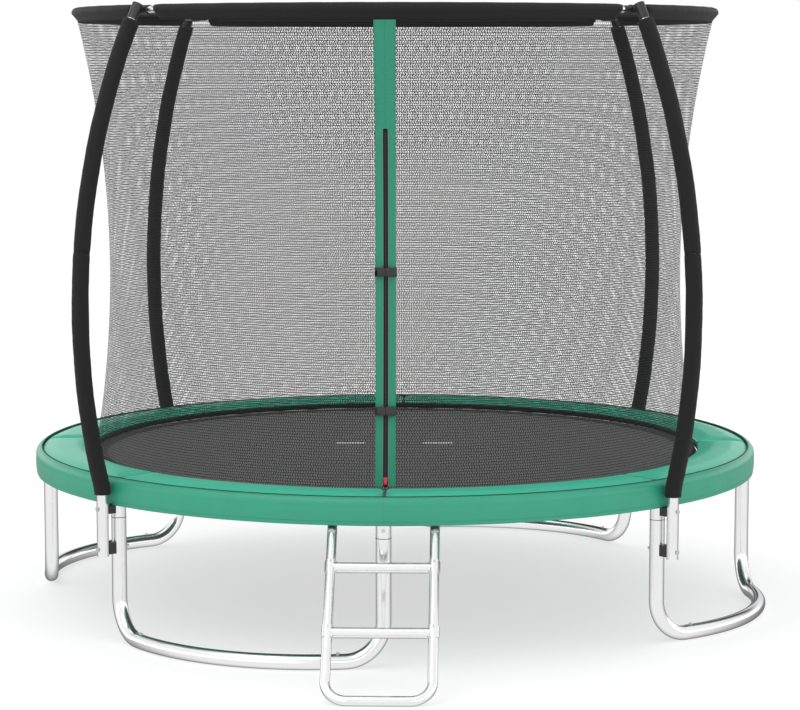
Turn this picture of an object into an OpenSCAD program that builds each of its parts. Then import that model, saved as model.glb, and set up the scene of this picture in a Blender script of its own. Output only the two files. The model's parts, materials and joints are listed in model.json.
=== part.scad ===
// Round garden trampoline with a curved-pole safety enclosure and a hook-on ladder.
// Millimetres. The origin is on the ground, on the trampoline's own axis. +Z is up and
// the door and the ladder face -Y. Angles run counter-clockwise from +X.

/* [Frame ring] */
// Radius of the frame ring, to the middle of its tube
frame_r = 1212; // [1100:1:1500]
// Height of the middle of the frame tube above the ground
frame_h = 485; // [420:1:620]
// Outer diameter of the frame tube
rail_d = 42; // [38:1:48]
// Wall of every frame and leg tube
tube_wall = 1.5; // [1:0.1:2.5]
// Length of the reduced end that slides into the next tube
swage_len = 50; // [35:1:70]
// Clearance around a reduced end, on the radius
swage_gap = 0.2; // [0.1:0.05:0.4]

/* [Legs] */
// Outer diameter of the leg tube
leg_d = 48; // [42:1:54]
// How far the leg socket reaches below the middle of the frame tube
socket_drop = 79; // [65:1:95]
// Radius of the bend between the upright and the foot
leg_bend_r = 120; // [90:1:150]
// How far the foot turns outwards from the line between its two uprights
foot_turn = 33; // [24:1:40]
// Part of that turn that belongs to each upright
upright_turn = 4; // [3:0.5:6]

/* [Mat and springs] */
// Room for the springs between the mat's edge and the middle of the frame tube
spring_room = 166; // [138:1:200]
// Height of the mat's top face above the middle of the frame tube
mat_rise = 17; // [12:1:22]
// Thickness of the mat's fabric
mat_t = 2.4; // [1.5:0.1:4]
// Width of the webbing sewn around the mat's edge
hem_w = 45; // [30:1:60]
// Thickness of the webbing sewn around the mat's edge
hem_t = 2; // [1:0.1:3]
// Springs hooked on each frame tube
springs_per_rail = 6; // [4:1:8]
// Outer diameter of a spring
spring_d = 17; // [14:0.5:20]
// Wire of a spring
spring_wire = 3; // [2:0.1:3.4]
// Wire of a V-ring
ring_wire = 4; // [3:0.1:5]
// Width of a V-ring at the mat
ring_w = 36; // [26:1:44]
// How far a V-ring reaches out from the mat
ring_reach = 27; // [22:1:36]

/* [Spring pad] */
// Gap between the mat's edge and the pad's inner edge
pad_clear = 5; // [2:1:20]
// Thickness of the pad's foam
pad_t = 17; // [12:1:30]
// Gap between the frame tube and the pad that lies on it
pad_rise = 9; // [8:1:14]
// Gap between the frame tube and the skirt around it
skirt_gap = 8; // [7.5:0.5:14]
// Thickness of the skirt
skirt_t = 4; // [2:0.5:6]
// Height of the skirt from its hem to the top of the pad
skirt_h = 86; // [70:1:110]

/* [Enclosure poles] */
// Outer diameter of the pole
pole_d = 38; // [32:1:42]
// Distance from the leg's middle to the pole's middle
pole_stand_off = 64; // [58:1:75]
// How far the pole's lower end reaches below the middle of the frame tube
pole_foot_drop = 202; // [190:1:235]
// Radius of the small bend above the straight foot
pole_bend_r = 160; // [120:1:220]
// Outward lean of the pole after the small bend
pole_lean = 15.2; // [11:0.1:18]
// Height of the joint between the two halves of a pole above the frame tube
pole_joint_rise = 769; // [640:1:920]
// Thickness of the foam sleeve on a pole
foam_t = 7.5; // [5:0.5:10]
// Width of a spacer between a pole and its leg
spacer_w = 26; // [20:1:32]
// Height of a spacer between a pole and its leg
spacer_tall = 36; // [28:1:44]
// How far the upper bolt of a pole lies below the middle of the frame tube
bolt_top_drop = 48; // [44:1:57]
// Distance between the two bolts of a pole
bolt_pitch = 130; // [110:1:134]
// Diameter of the bolts that hold a pole
bolt_d = 8; // [6:0.5:10]

/* [Top hoop] */
// How far the top hoop lies inside the frame ring
hoop_inset = 126; // [105:1:151]
// Height of the middle of the hoop above the middle of the frame tube
hoop_rise = 1524; // [1270:1:1830]
// Outer diameter of the hoop tube
hoop_d = 24; // [20:1:28]
// Distance from the hoop's middle to the pole's middle at the cap
cap_reach = 36; // [34:1:44]
// Thickness of the padding around the hoop tube
hoop_pad = 5.5; // [3:0.5:8]
// How far the sleeve's lower seam hangs below the middle of the hoop
sleeve_drop = 33; // [28:1:40]
// Bare length of hoop on each side of a pole
hoop_bare = 55; // [50:1:80]

/* [Net and door] */
// Radius of the net's inward curve
net_curve_r = 3560; // [3000:10:4600]
// Thickness of the net
net_t = 1.5; // [1:0.1:3]
// Width of the two green strips and the zip between them
door_w = 62; // [50:1:80]
// Width of the zip between the strips
zip_w = 15; // [12:1:20]
// Length of the zip from its lower end above the pad
zip_len = 1109; // [900:1:1200]
// Height of the lower strap buckle above the pad
buckle_low_rise = 233; // [180:1:330]
// Height of the upper strap buckle above the pad
buckle_high_rise = 667; // [560:1:750]

/* [Ladder] */
// Distance between the middles of the ladder's side tubes
ladder_w = 313; // [280:1:360]
// Outer diameter of the ladder's side tubes
ladder_d = 30; // [25:1:34]
// Lean of the ladder from upright
ladder_lean = 49.7; // [40:0.1:52]
// Distance between the two steps along the side tubes
step_pitch = 245; // [205:1:300]
// Distance from the frame down to the upper step along the side tubes
top_step_drop = 189; // [150:1:230]
// Outer diameter of a step
step_d = 32; // [28:1:36]
// Radius of the ladder's lower bends, to the middle of the tube
ladder_bend_r = 65; // [50:1:90]
// Thickness of the hooks that hold the ladder on the frame
hook_t = 2.2; // [1.5:0.1:2.4]
// Slack between a hook and the frame tube
hook_gap = 1.8; // [1.6:0.1:2]
// Width of a hook
hook_w = 22; // [16:1:26]

/* [Hidden] */
$fn = 48;
fine = 256;                      // facets of a preview circle wider than about a metre
rail_ro = rail_d / 2;
rail_ri = rail_ro - tube_wall;
leg_ro = leg_d / 2;
leg_ri = leg_ro - tube_wall;
pole_ro = pole_d / 2;
pole_ri = pole_ro - tube_wall;
hoop_ro = hoop_d / 2;
hoop_wall = 1.2;
hoop_ri = hoop_ro - hoop_wall;
foam_ro = pole_ro + foam_t;
lad_ro = ladder_d / 2;
lad_ri = lad_ro - tube_wall;
air = 0.3;                       // clearance kept between pieces that only lie together
collar_len = 5;                  // collar where a tube changes its bend
collar_more = 0.12;              // how much thicker it is than the tube, on each face
seam = 0.3;                      // seam that the collar bridges, on each side of its middle
function seam_a(r) = seam * 180 / (PI * r);

rails = 8;
rail_angle = 360 / rails;
half = rail_angle / 2;
poles = 4;
pole_at = [for (k = [0 : poles - 1]) 45 + 90 * k];

// legs: two uprights and one curved foot each
socket_foot_h = frame_h - socket_drop;
chord_half = frame_r * sin(half);
chord_out = frame_r * cos(half);
foot_r = (chord_half - leg_bend_r * cos(foot_turn)) / sin(foot_turn);
foot_centre = chord_out + leg_bend_r * sin(foot_turn) - foot_r * cos(foot_turn);
foot_half = foot_turn - upright_turn;
swage_turn = swage_len * 180 / (PI * foot_r);
rail_swage_turn = swage_len * 180 / (PI * frame_r);

// screws and bolts
screw_r = 3;
screw_hole_r = screw_r + 0.25;
bolt_r = bolt_d / 2;
bolt_hole_r = bolt_r + 0.4;
socket_screw_h = socket_foot_h + 24;
pole_r0 = frame_r + pole_stand_off;
pole_foot_h = frame_h - pole_foot_drop;
pole_straight_h = frame_h - 2;

// mat, pad and skirt
mat_r = frame_r - spring_room;
mat_h = frame_h + mat_rise;
pad_in_r = mat_r + pad_clear;
pad_low = frame_h + rail_ro + pad_rise;
pad_top = pad_low + pad_t;
skirt_in_r = frame_r + rail_ro + skirt_gap;
skirt_out_r = skirt_in_r + skirt_t;
skirt_edge_r = 22;               // radius of the soft corner between pad and skirt
skirt_low = pad_top - skirt_h;

// bolts of the poles: the upper spacer ends just below the skirt's hem
spacer_rim = 8;                  // least height of a spacer above its bolt
bolt_top_h = min(frame_h - bolt_top_drop, skirt_low - 1 - spacer_rim);
bolt_low_h = bolt_top_h - bolt_pitch;

// springs: each lies on a line from a V-ring's tip to its hole in the frame tube
spring_step = rail_angle / springs_per_rail;
spring_n = rails * springs_per_rail;
mat_mid = mat_h - mat_t / 2;
ring_tip = mat_r + ring_reach;
spring_hook = 15;                // straight wire at each end of the coils
spring_hole_up = 6;              // how far a spring's hole lies above the tube's middle
spring_hole_r = spring_wire / 2 + 2;
spring_from = [ring_tip + air, mat_mid];
spring_to = [frame_r - sqrt(rail_ro * rail_ro - spring_hole_up * spring_hole_up),
             frame_h + spring_hole_up];
spring_run = spring_to - spring_from;
spring_slope = atan2(spring_run[1], spring_run[0]);
spring_len = norm(spring_run) + 6;

// pole curve, in the upright plane through the axis: a small bend, then one long arc
bend_top = [pole_r0 + pole_bend_r * (1 - cos(pole_lean)),
            pole_straight_h + pole_bend_r * sin(pole_lean)];
cap_len = 56;                    // how far a cap stands out of its pole
cap_plug = 45;                   // how far a cap reaches into its pole
hoop_r = frame_r - hoop_inset;
hoop_h = frame_h + hoop_rise;
pole_joint_h = frame_h + pole_joint_rise;
pole_tip = [hoop_r + cap_reach, hoop_h];
bow = pole_tip - bend_top;
bow_in = [-cos(pole_lean), sin(pole_lean)];
bow_r = (bow * bow) / (2 * (bow_in * bow));
bow_c = bend_top + bow_r * bow_in;
tip_a = asin((pole_tip[1] - bow_c[1]) / bow_r);
joint_a = asin((pole_joint_h - bow_c[1]) / bow_r);
function along_bow(len) = len * 180 / (PI * bow_r);
pole_end_a = tip_a - along_bow(cap_len - 20);
cap_foot = bow_c + bow_r * [cos(pole_end_a), sin(pole_end_a)];
foam_gap = 3;                    // bare pole left at the joint and at each end of the foam

// hoop
hoop_bare_a = hoop_bare * 180 / (PI * hoop_r);
cap_arm_a = 46 * 180 / (PI * hoop_r);
cap_socket_a = 24 * 180 / (PI * hoop_r);
hoop_sleeve_r = hoop_ro + hoop_pad;
sleeve_foot = [hoop_r - 5, hoop_h - sleeve_drop];

// net and door
net_low = mat_h + hem_t + 1.5;
net_high = sleeve_foot[1] - air;
net_foot = [mat_r - 4, net_low];
net_chord = [hoop_r - 4, net_high] - net_foot;
net_half = norm(net_chord) / 2;
net_c = net_foot + net_chord / 2
      + sqrt(net_curve_r * net_curve_r - net_half * net_half)
        * [net_chord[1], -net_chord[0]] / norm(net_chord);
net_waist_r = net_c[0] - net_curve_r;
strip_t = 2;
strip_r = net_curve_r - net_t - air;
strip_half_a = door_w / 2 * 180 / (PI * net_waist_r);
zip_half_a = zip_w / 2 * 180 / (PI * net_waist_r);
zip_low = pad_top + 2;
zip_top_h = zip_low + zip_len;
slider_h = pad_top + 17;
slider_out = strip_r - strip_t;  // distance of the zip's outer face from the net's centre
buckle_off = 6.2;                // room behind the buckles for the zip's slider
buckle_t = 9;
buckle_low_h = pad_top + buckle_low_rise;
buckle_high_h = pad_top + buckle_high_rise;
buckle_tall = 28;
buckle_half_w = 34;

// ladder, in its own plane
ladder_x = ladder_w / 2;
hook_y = sqrt(frame_r * frame_r - ladder_x * ladder_x);
hook_ri = rail_ro + hook_gap;
hook_ro = hook_ri + hook_t;
ladder_off = hook_ro + 0.2 + lad_ro;
ladder_foot_y = hook_y + ((frame_h - lad_ro) * sin(ladder_lean) - ladder_off) / cos(ladder_lean);
ladder_len = (frame_h - lad_ro) * cos(ladder_lean)
           + (ladder_foot_y - hook_y) * sin(ladder_lean);
ladder_top = ladder_len + 12;
step_y = [ladder_len - top_step_drop, ladder_len - top_step_drop - step_pitch];
hook_tail = 62;
hook_seat = lad_ro + 0.2;        // where a hook's tail lies on its side tube
socket_len = 44;

// ---- shared shapes ----

// A ring section drawn at radius r, turned from angle a0 to angle a1 at height z.
module sweep(a0, a1, r, z) {
    translate([0, 0, z]) rotate([0, 0, a0]) rotate_extrude(angle = a1 - a0, $fn = fine)
        translate([r, 0]) children();
}

// A curve in the upright plane at azimuth az: centre c = [radius, height], from a0 to a1.
module upright_sweep(az, c, a0, a1, r) {
    rotate([0, 0, az]) translate([c[0], 0, c[1]]) rotate([90, 0, 0]) rotate([0, 0, a0])
        rotate_extrude(angle = a1 - a0, $fn = fine) translate([r, 0]) children();
}

module ring2d(ro, ri) {
    difference() {
        circle(ro);
        circle(ri);
    }
}

module pipe(ro, ri, len) {
    difference() {
        cylinder(r = ro, h = len);
        translate([0, 0, -1]) cylinder(r = ri, h = len + 2);
    }
}

// A rod along the radius at azimuth az, from radius r0 to radius r1 at height z.
module radial_rod(az, z, r0, r1, r) {
    rotate([0, 0, az]) translate([r0, 0, z]) rotate([0, 90, 0]) cylinder(r = r, h = r1 - r0);
}

// A pan-head screw that points inwards: its head lies on radius r0.
module radial_screw(az, z, r0, len) {
    radial_rod(az, z, r0 - len, r0 + 1, screw_r);
    radial_rod(az, z, r0 + 0.1, r0 + 3.6, screw_r * 2);
}

// A short collar where a tube changes its bend, centred on the origin along z. It is a
// hair thicker than the tube on both faces and bridges the small seam between the bends.
module bend_collar(ro, ri) {
    translate([0, 0, -collar_len / 2]) pipe(ro + collar_more, ri - collar_more, collar_len);
}

// ---- frame ring ----

// One frame tube with its leg socket in the middle and a reduced end that enters the next.
module frame_rail(k) {
    az = rail_angle * k;
    sw = rail_ri - swage_gap;
    pole_here = k % 2 == 1;
    color("silver") difference() {
        union() {
            sweep(az - half, az + half, frame_r, frame_h) circle(rail_ro);
            sweep(az + half - 0.4, az + half + rail_swage_turn, frame_r, frame_h) circle(sw);
            rotate([0, 0, az]) translate([frame_r, 0, socket_foot_h])
                cylinder(r = leg_ro, h = socket_drop - 7);
        }
        sweep(az - half - 1, az + half - 0.2, frame_r, frame_h) circle(rail_ri);
        sweep(az + half - 0.6, az + half + rail_swage_turn + 1, frame_r, frame_h)
            circle(sw - tube_wall);
        rotate([0, 0, az]) translate([frame_r, 0, socket_foot_h - 1])
            cylinder(r = leg_ri, h = socket_drop - rail_ro - tube_wall - 1);
        for (i = [0 : springs_per_rail - 1])
            at_spring(az - half + (i + 0.5) * spring_step)
                translate([0, 0, spring_len - 12]) cylinder(r = spring_hole_r, h = 14);
        if (pole_here) radial_rod(az, bolt_top_h, frame_r - leg_d, frame_r + leg_d, bolt_hole_r);
        else radial_rod(az, socket_screw_h, frame_r, frame_r + leg_d, screw_hole_r);
        radial_rod(az - half + rail_swage_turn / 2, frame_h, frame_r, frame_r + rail_d, screw_hole_r);
        radial_rod(az + half + rail_swage_turn / 2, frame_h, frame_r, frame_r + rail_d, screw_hole_r);
    }
}

// ---- legs ----

function pair_mid(i) = i % 2 == 1 ? rail_angle * i + half : rail_angle * i - half;
function pair_side(i) = i % 2 == 1 ? 1 : -1;

// One upright: a reduced top end, the straight tube, the bend and the start of the foot.
module leg_upright(i) {
    az = rail_angle * i;
    s = pair_side(i);
    post = [frame_r * cos(az), frame_r * sin(az), 0];
    heading = heading_of(i);
    sw = leg_ri - swage_gap;
    bend_h = leg_ro + leg_bend_r;
    inner = 90 - s * foot_half;
    outer = 90 - s * (foot_turn - seam_a(foot_r));
    color("silver") difference() {
        union() {
            translate(post) {
                translate([0, 0, socket_foot_h - 4]) pipe(leg_ro - 0.05, sw - tube_wall, 4);
                translate([0, 0, socket_foot_h - 2]) pipe(sw, sw - tube_wall, swage_len);
                translate([0, 0, bend_h + seam])
                    pipe(leg_ro, leg_ri, socket_foot_h - bend_h - seam - 3);
                translate([0, 0, bend_h]) bend_collar(leg_ro, leg_ri);
            }
            translate([0, 0, bend_h]) translate(post) rotate([0, 0, heading])
                translate([leg_bend_r, 0, 0]) rotate([90, 0, 0])
                    rotate([0, 0, 180 + seam_a(leg_bend_r)])
                        rotate_extrude(angle = 90 - 2 * seam_a(leg_bend_r))
                            translate([leg_bend_r, 0]) ring2d(leg_ro, leg_ri);
            translate([0, 0, leg_ro]) translate(post) rotate([0, 0, heading])
                translate([leg_bend_r, 0, 0]) rotate([0, 90, 0]) bend_collar(leg_ro, leg_ri);
            foot_arc(pair_mid(i), min(inner, outer), max(inner, outer)) ring2d(leg_ro, leg_ri);
        }
        if (i % 2 == 1) {
            radial_rod(az, bolt_top_h, frame_r - leg_d, frame_r + leg_d, bolt_hole_r);
            radial_rod(az, bolt_low_h, frame_r - leg_d, frame_r + leg_d, bolt_hole_r);
        } else radial_rod(az, socket_screw_h, frame_r, frame_r + leg_d, screw_hole_r);
        foot_screw_hole(pair_mid(i), s);
    }
}

// Direction in which the foot leaves an upright, seen from above.
function heading_of(i) = pair_side(i) > 0
    ? pair_mid(i) + 90 - foot_turn
    : pair_mid(i) - 90 + foot_turn;

// A stretch of the curved foot between two angles, in the frame of its pair of uprights.
module foot_arc(mid, a0, a1) {
    rotate([0, 0, mid - 90]) translate([0, foot_centre, leg_ro]) rotate([0, 0, a0])
        rotate_extrude(angle = a1 - a0, $fn = fine) translate([foot_r, 0]) children();
}

// The screw through the joint between an upright and its foot, from above.
module foot_screw_at(mid, s) {
    rotate([0, 0, mid - 90]) translate([0, foot_centre, leg_ro])
        rotate([0, 0, 90 - s * (foot_half + swage_turn / 2)]) translate([foot_r, 0, 0]) children();
}

module foot_screw_hole(mid, s) {
    foot_screw_at(mid, s) cylinder(r = screw_hole_r, h = leg_d);
}

module leg_foot(k) {
    mid = 90 * k + 67.5;
    sw = leg_ri - swage_gap;
    color("silver") difference() {
        union() {
            foot_arc(mid, 90 - foot_half, 90 + foot_half) circle(leg_ro);
            foot_arc(mid, 90 - foot_half - swage_turn, 90 + foot_half + swage_turn) circle(sw);
        }
        foot_arc(mid, 90 - foot_half + 0.3, 90 + foot_half - 0.3) circle(leg_ri);
        foot_arc(mid, 90 - foot_half - swage_turn - 1, 90 + foot_half + swage_turn + 1)
            circle(sw - tube_wall);
        foot_screw_hole(mid, 1);
        foot_screw_hole(mid, -1);
    }
}

module frame_screws() {
    color("gray") {
        for (k = [0 : rails - 1])
            radial_screw(rail_angle * k + half + rail_swage_turn / 2, frame_h, frame_r + rail_ro, 12);
        for (k = [0 : 2 : rails - 1])
            radial_screw(rail_angle * k, socket_screw_h, frame_r + leg_ro, 12);
        for (k = [0 : 3], s = [-1, 1])
            foot_screw_at(90 * k + 67.5, s) {
                translate([0, 0, leg_ro - 12]) cylinder(r = screw_r, h = 13);
                translate([0, 0, leg_ro + 0.1]) cylinder(r = screw_r * 2, h = 3.5);
            }
    }
}

// ---- mat and springs ----

module jump_mat() {
    color([0.16, 0.16, 0.16]) translate([0, 0, mat_h - mat_t])
        cylinder(r = mat_r - 2, h = mat_t, $fn = fine);
}

// The folded webbing over and under the mat's edge.
module mat_hem() {
    color([0.1, 0.1, 0.1]) rotate_extrude($fn = fine) difference() {
        translate([mat_r - hem_w, mat_h - mat_t - hem_t]) square([hem_w, mat_t + 2 * hem_t]);
        translate([mat_r - hem_w - 1, mat_h - mat_t]) square([hem_w - 1, mat_t]);
    }
}

// One wire triangle: its two legs leave the webbing and meet where a spring hooks on.
module v_ring() {
    base = mat_r + air;
    w = ring_wire;
    translate([0, 0, mat_mid - w / 2]) linear_extrude(w) difference() {
        polygon([[base, -ring_w / 2], [ring_tip, -w], [ring_tip, w], [base, ring_w / 2]]);
        polygon([[base + w, -ring_w / 2 + w * 1.5], [ring_tip - w, -w * 0.45],
                 [ring_tip - w, w * 0.45], [base + w, ring_w / 2 - w * 1.5]]);
    }
}

module v_rings() {
    color("silver") for (n = [0 : spring_n - 1])
        rotate([0, 0, -half + (n + 0.5) * spring_step]) v_ring();
}

// Places its children at a V-ring's tip, with z along the spring.
module at_spring(a) {
    rotate([0, 0, a]) translate([spring_from[0], 0, spring_from[1]])
        rotate([0, 90 - spring_slope, 0]) children();
}

// Each spring is drawn as its envelope: the coils' outer shape and a straight wire at each
// end, the outer one through its hole in the frame tube.
module springs() {
    w = spring_wire / 2;
    r = spring_d / 2;
    a = spring_hook;
    len = spring_len;
    color("gray") for (n = [0 : spring_n - 1]) at_spring(-half + (n + 0.5) * spring_step)
        rotate_extrude() polygon([[0, 0], [w, 0], [w, a], [r, a], [r, len - a - 6],
                                  [w, len - a - 6], [w, len], [0, len]]);
}

// ---- spring pad ----

module spring_pad() {
    color([0.25, 0.65, 0.53]) rotate_extrude($fn = fine)
        translate([pad_in_r, pad_low]) square([skirt_out_r - skirt_edge_r - pad_in_r, pad_t]);
}

// The skirt hangs from the pad's outer seam: a soft corner, then a straight fall.
module pad_skirt() {
    corner = [skirt_out_r - skirt_edge_r, pad_top - skirt_edge_r];
    color([0.22, 0.63, 0.51]) rotate_extrude($fn = fine) {
        translate(corner) intersection() {
            ring2d(skirt_edge_r, skirt_edge_r - skirt_t);
            square(skirt_edge_r + 1);
        }
        translate([skirt_in_r, skirt_low]) square([skirt_t, corner[1] - skirt_low]);
    }
}

// ---- enclosure poles ----

// The small bend above a pole's straight foot, and the collars at its two ends.
module pole_bend(az, ro, ri) {
    upright_sweep(az, [pole_r0 + pole_bend_r, pole_straight_h], 180 - pole_lean
        + seam_a(pole_bend_r), 180 - seam_a(pole_bend_r), pole_bend_r) ring2d(ro, ri);
    rotate([0, 0, az]) translate([bend_top[0], 0, bend_top[1]]) rotate([0, pole_lean, 0])
        bend_collar(ro, ri);
}

module pole_lower(k) {
    az = pole_at[k];
    straight = pole_straight_h - pole_foot_h;
    color("silver") difference() {
        union() {
            rotate([0, 0, az]) translate([pole_r0, 0, pole_foot_h]) {
                pipe(pole_ro, pole_ri, straight - seam);
                translate([0, 0, straight]) bend_collar(pole_ro, pole_ri);
            }
            pole_bend(az, pole_ro, pole_ri);
            upright_sweep(az, bow_c, -pole_lean + seam_a(bow_r), joint_a, bow_r)
                ring2d(pole_ro, pole_ri);
        }
        for (h = [bolt_top_h, bolt_low_h])
            radial_rod(az, h, pole_r0 - pole_d, pole_r0 + pole_d, bolt_hole_r);
    }
}

module pole_upper(k) {
    az = pole_at[k];
    sw = pole_ri - swage_gap;
    turn = along_bow(swage_len);
    color("silver") difference() {
        union() {
            upright_sweep(az, bow_c, joint_a, pole_end_a, bow_r) circle(pole_ro);
            upright_sweep(az, bow_c, joint_a - turn, joint_a + turn, bow_r) circle(sw);
        }
        upright_sweep(az, bow_c, joint_a + along_bow(4), pole_end_a + 1, bow_r) circle(pole_ri);
        upright_sweep(az, bow_c, joint_a - turn - 1, joint_a + turn, bow_r)
            circle(sw - tube_wall);
    }
}

// Plastic saddles that keep each pole clear of its leg.
module pole_spacers() {
    gap = 0.15;
    color([0.08, 0.08, 0.08]) for (az = pole_at, h = [bolt_top_h, bolt_low_h])
        rotate([0, 0, az]) difference() {
            low = h - spacer_tall / 2;
            high = min(h + spacer_tall / 2, skirt_low - 1);
            translate([frame_r + leg_ro * 0.75, -spacer_w / 2, low])
                cube([pole_stand_off - leg_ro * 0.75 - pole_ro * 0.7, spacer_w, high - low]);
            translate([frame_r, 0, low - 1]) cylinder(r = leg_ro + gap, h = spacer_tall + 2);
            translate([pole_r0, 0, low - 1]) cylinder(r = pole_ro + gap, h = spacer_tall + 2);
            translate([frame_r, 0, h]) rotate([0, 90, 0])
                cylinder(r = bolt_hole_r, h = pole_stand_off);
        }
}

// Round-head bolts through pole, spacer and leg, from the outside.
module pole_bolts() {
    color("gray") for (az = pole_at, h = [bolt_top_h, bolt_low_h]) {
        radial_rod(az, h, frame_r - leg_ro - 12, pole_r0 + pole_ro + 1, bolt_r);
        radial_rod(az, h, pole_r0 + pole_ro + 0.1, pole_r0 + pole_ro + 4, bolt_r * 1.9);
    }
}

module pole_nuts() {
    color("gray") for (az = pole_at, h = [bolt_top_h, bolt_low_h])
        rotate([0, 0, az]) translate([frame_r - leg_ro - 0.1, 0, h]) rotate([0, -90, 0])
            difference() {
                cylinder(r = bolt_d * 0.9, h = bolt_d * 0.8, $fn = 6);
                translate([0, 0, -1]) cylinder(r = bolt_r + 0.05, h = bolt_d * 2, $fn = 24);
            }
}

module foam_lower() {
    bore = pole_ro + 2 * air;
    color([0.12, 0.12, 0.12]) for (az = pole_at) {
        pole_bend(az, foam_ro, bore);
        upright_sweep(az, bow_c, -pole_lean + seam_a(bow_r),
            joint_a - along_bow(foam_gap / 2), bow_r) ring2d(foam_ro, bore);
    }
}

module foam_upper() {
    color([0.12, 0.12, 0.12]) for (az = pole_at)
        upright_sweep(az, bow_c, joint_a + along_bow(foam_gap / 2),
            pole_end_a - along_bow(foam_gap), bow_r) ring2d(foam_ro, pole_ro + 2 * air);
}

// ---- top hoop ----

// A plastic cap plugs each pole and carries a cross socket for the hoop tubes: a spigot
// on one side and an open socket on the other.
module pole_caps() {
    plug_r = pole_ri - 0.2 - cap_plug * cap_plug / (2 * bow_r);
    spigot_r = hoop_ri - 0.2;
    arm_r = hoop_ro + 0.5;
    socket_r = hoop_ro + 3;
    color([0.07, 0.07, 0.07]) for (az = pole_at) difference() {
        union() {
            rotate([0, 0, az]) translate([cap_foot[0], 0, cap_foot[1]]) rotate([0, -pole_end_a, 0])
                translate([0, 0, -cap_plug]) cylinder(r = plug_r, h = cap_plug + cap_len);
            sweep(az - cap_arm_a, az, hoop_r, hoop_h) circle(arm_r);
            sweep(az - cap_arm_a * 1.6, az, hoop_r, hoop_h) circle(spigot_r);
            sweep(az - 0.6, az + cap_socket_a, hoop_r, hoop_h) circle(socket_r);
            rotate([0, 0, az]) translate([hoop_r, 0, hoop_h]) rotate([0, 90, 0])
                cylinder(r = 11, h = cap_reach - 6);
        }
        sweep(az + 0.2, az + cap_socket_a + 1, hoop_r, hoop_h) circle(hoop_ro + 0.15);
    }
}

module hoop_tube(k) {
    az = pole_at[k];
    color("silver") difference() {
        sweep(az + 0.25, az + 90 - cap_arm_a, hoop_r, hoop_h) ring2d(hoop_ro, hoop_ri);
        radial_rod(az + cap_arm_a * 0.9, hoop_h, hoop_r, hoop_r + hoop_d, 2.2);
    }
}

module hoop_screws() {
    color("gray") for (az = pole_at) {
        radial_rod(az + cap_arm_a * 0.9, hoop_h, hoop_r + hoop_ro - 8, hoop_r + hoop_ro + 1, 2);
        radial_rod(az + cap_arm_a * 0.9, hoop_h, hoop_r + hoop_ro + 0.2, hoop_r + hoop_ro + 2.4, 4);
    }
}

// The padded pocket along the hoop: round over the tube, drawn in to the seam below.
module hoop_sleeves() {
    ro = hoop_sleeve_r;
    color([0.14, 0.14, 0.14]) for (az = pole_at)
        sweep(az + hoop_bare_a, az + 90 - hoop_bare_a, 0, 0) difference() {
            union() {
                translate([hoop_r, hoop_h]) circle(ro);
                polygon([[hoop_r - ro * 0.97, hoop_h - ro * 0.24],
                         [sleeve_foot[0] - 2.5, sleeve_foot[1]],
                         [sleeve_foot[0] + 2.5, sleeve_foot[1]],
                         [hoop_r + ro * 0.97, hoop_h - ro * 0.24]]);
            }
            translate([hoop_r, hoop_h]) circle(hoop_ro + air);
        }
}

// ---- net and door ----

// A band of fabric that follows the net: thickness t outwards from radius r of the curve.
module net_band(r, t, z0, z1) {
    intersection() {
        translate(net_c) ring2d(r, r - t, $fn = fine);
        translate([net_waist_r - 100, z0]) square([400, z1 - z0]);
    }
}

module net() {
    color([0.35, 0.35, 0.35]) difference() {
        rotate_extrude($fn = fine) net_band(net_curve_r, net_t, net_low, net_high);
        translate([-zip_w / 2 + 3, -mat_r - 60, zip_low]) cube([zip_w - 6, 200, zip_top_h - zip_low]);
    }
}

// Two straps of webbing edge the zip and become one above it.
module door_strips() {
    a = 270;
    color([0.2, 0.6, 0.48]) {
        for (s = [0, 1])
            sweep(s ? a + zip_half_a : a - strip_half_a, s ? a + strip_half_a : a - zip_half_a, 0, 0)
                net_band(strip_r, strip_t, zip_low, zip_top_h);
        sweep(a - strip_half_a, a + strip_half_a, 0, 0)
            net_band(strip_r, strip_t, zip_top_h, net_high - 2);
    }
}

module zip_tape() {
    inset = 0.02;
    color([0.06, 0.06, 0.06]) sweep(270 - zip_half_a + inset, 270 + zip_half_a - inset, 0, 0)
        net_band(strip_r - 0.5, strip_t - 1, zip_low, zip_top_h - air);
}

// Things that ride on the front of the net: x across, y outwards, z along the curve.
module on_net(h) {
    a = asin((h - net_c[1]) / net_curve_r);
    translate([0, -net_c[0], net_c[1]]) rotate([a, 0, 0]) translate([0, slider_out, 0])
        rotate([0, 0, 180]) children();
}

// The slider and its pull tab are thin enough to pass behind the buckles.
module zip_slider() {
    color([0.75, 0.1, 0.12]) on_net(slider_h) translate([0, air, 0]) {
        translate([-6.5, 0, -12]) cube([13, 2.8, 24]);
        translate([-1.5, 2.7, -8]) cube([3, 1, 16]);
        translate([-3, 3.6, -11]) cube([6, 1.2, 20]);
    }
}

module buckle_sockets() {
    color([0.06, 0.06, 0.06]) for (h = [buckle_low_h, buckle_high_h])
        on_net(h) translate([0, buckle_off, 0]) difference() {
            translate([0, 0, -buckle_tall / 2]) cube([buckle_half_w, buckle_t, buckle_tall]);
            translate([-1, 2, -buckle_tall / 2 + 4]) cube([25, buckle_t - 4, buckle_tall - 8]);
        }
}

// The plug: a body with its centre guide and two side prongs inside the socket.
module buckle_plug(h) {
    color([0.08, 0.08, 0.08]) on_net(h) translate([0, buckle_off, 0]) {
        translate([-buckle_half_w, 0, -buckle_tall / 2])
            cube([buckle_half_w - air, buckle_t, buckle_tall]);
        translate([-2, 2.4, -3]) cube([22, buckle_t - 4.8, 6]);
        for (s = [-1, 1])
            translate([-2, 2.4, s * 7.5 - 1.75]) cube([20, buckle_t - 4.8, 3.5]);
    }
}

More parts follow.
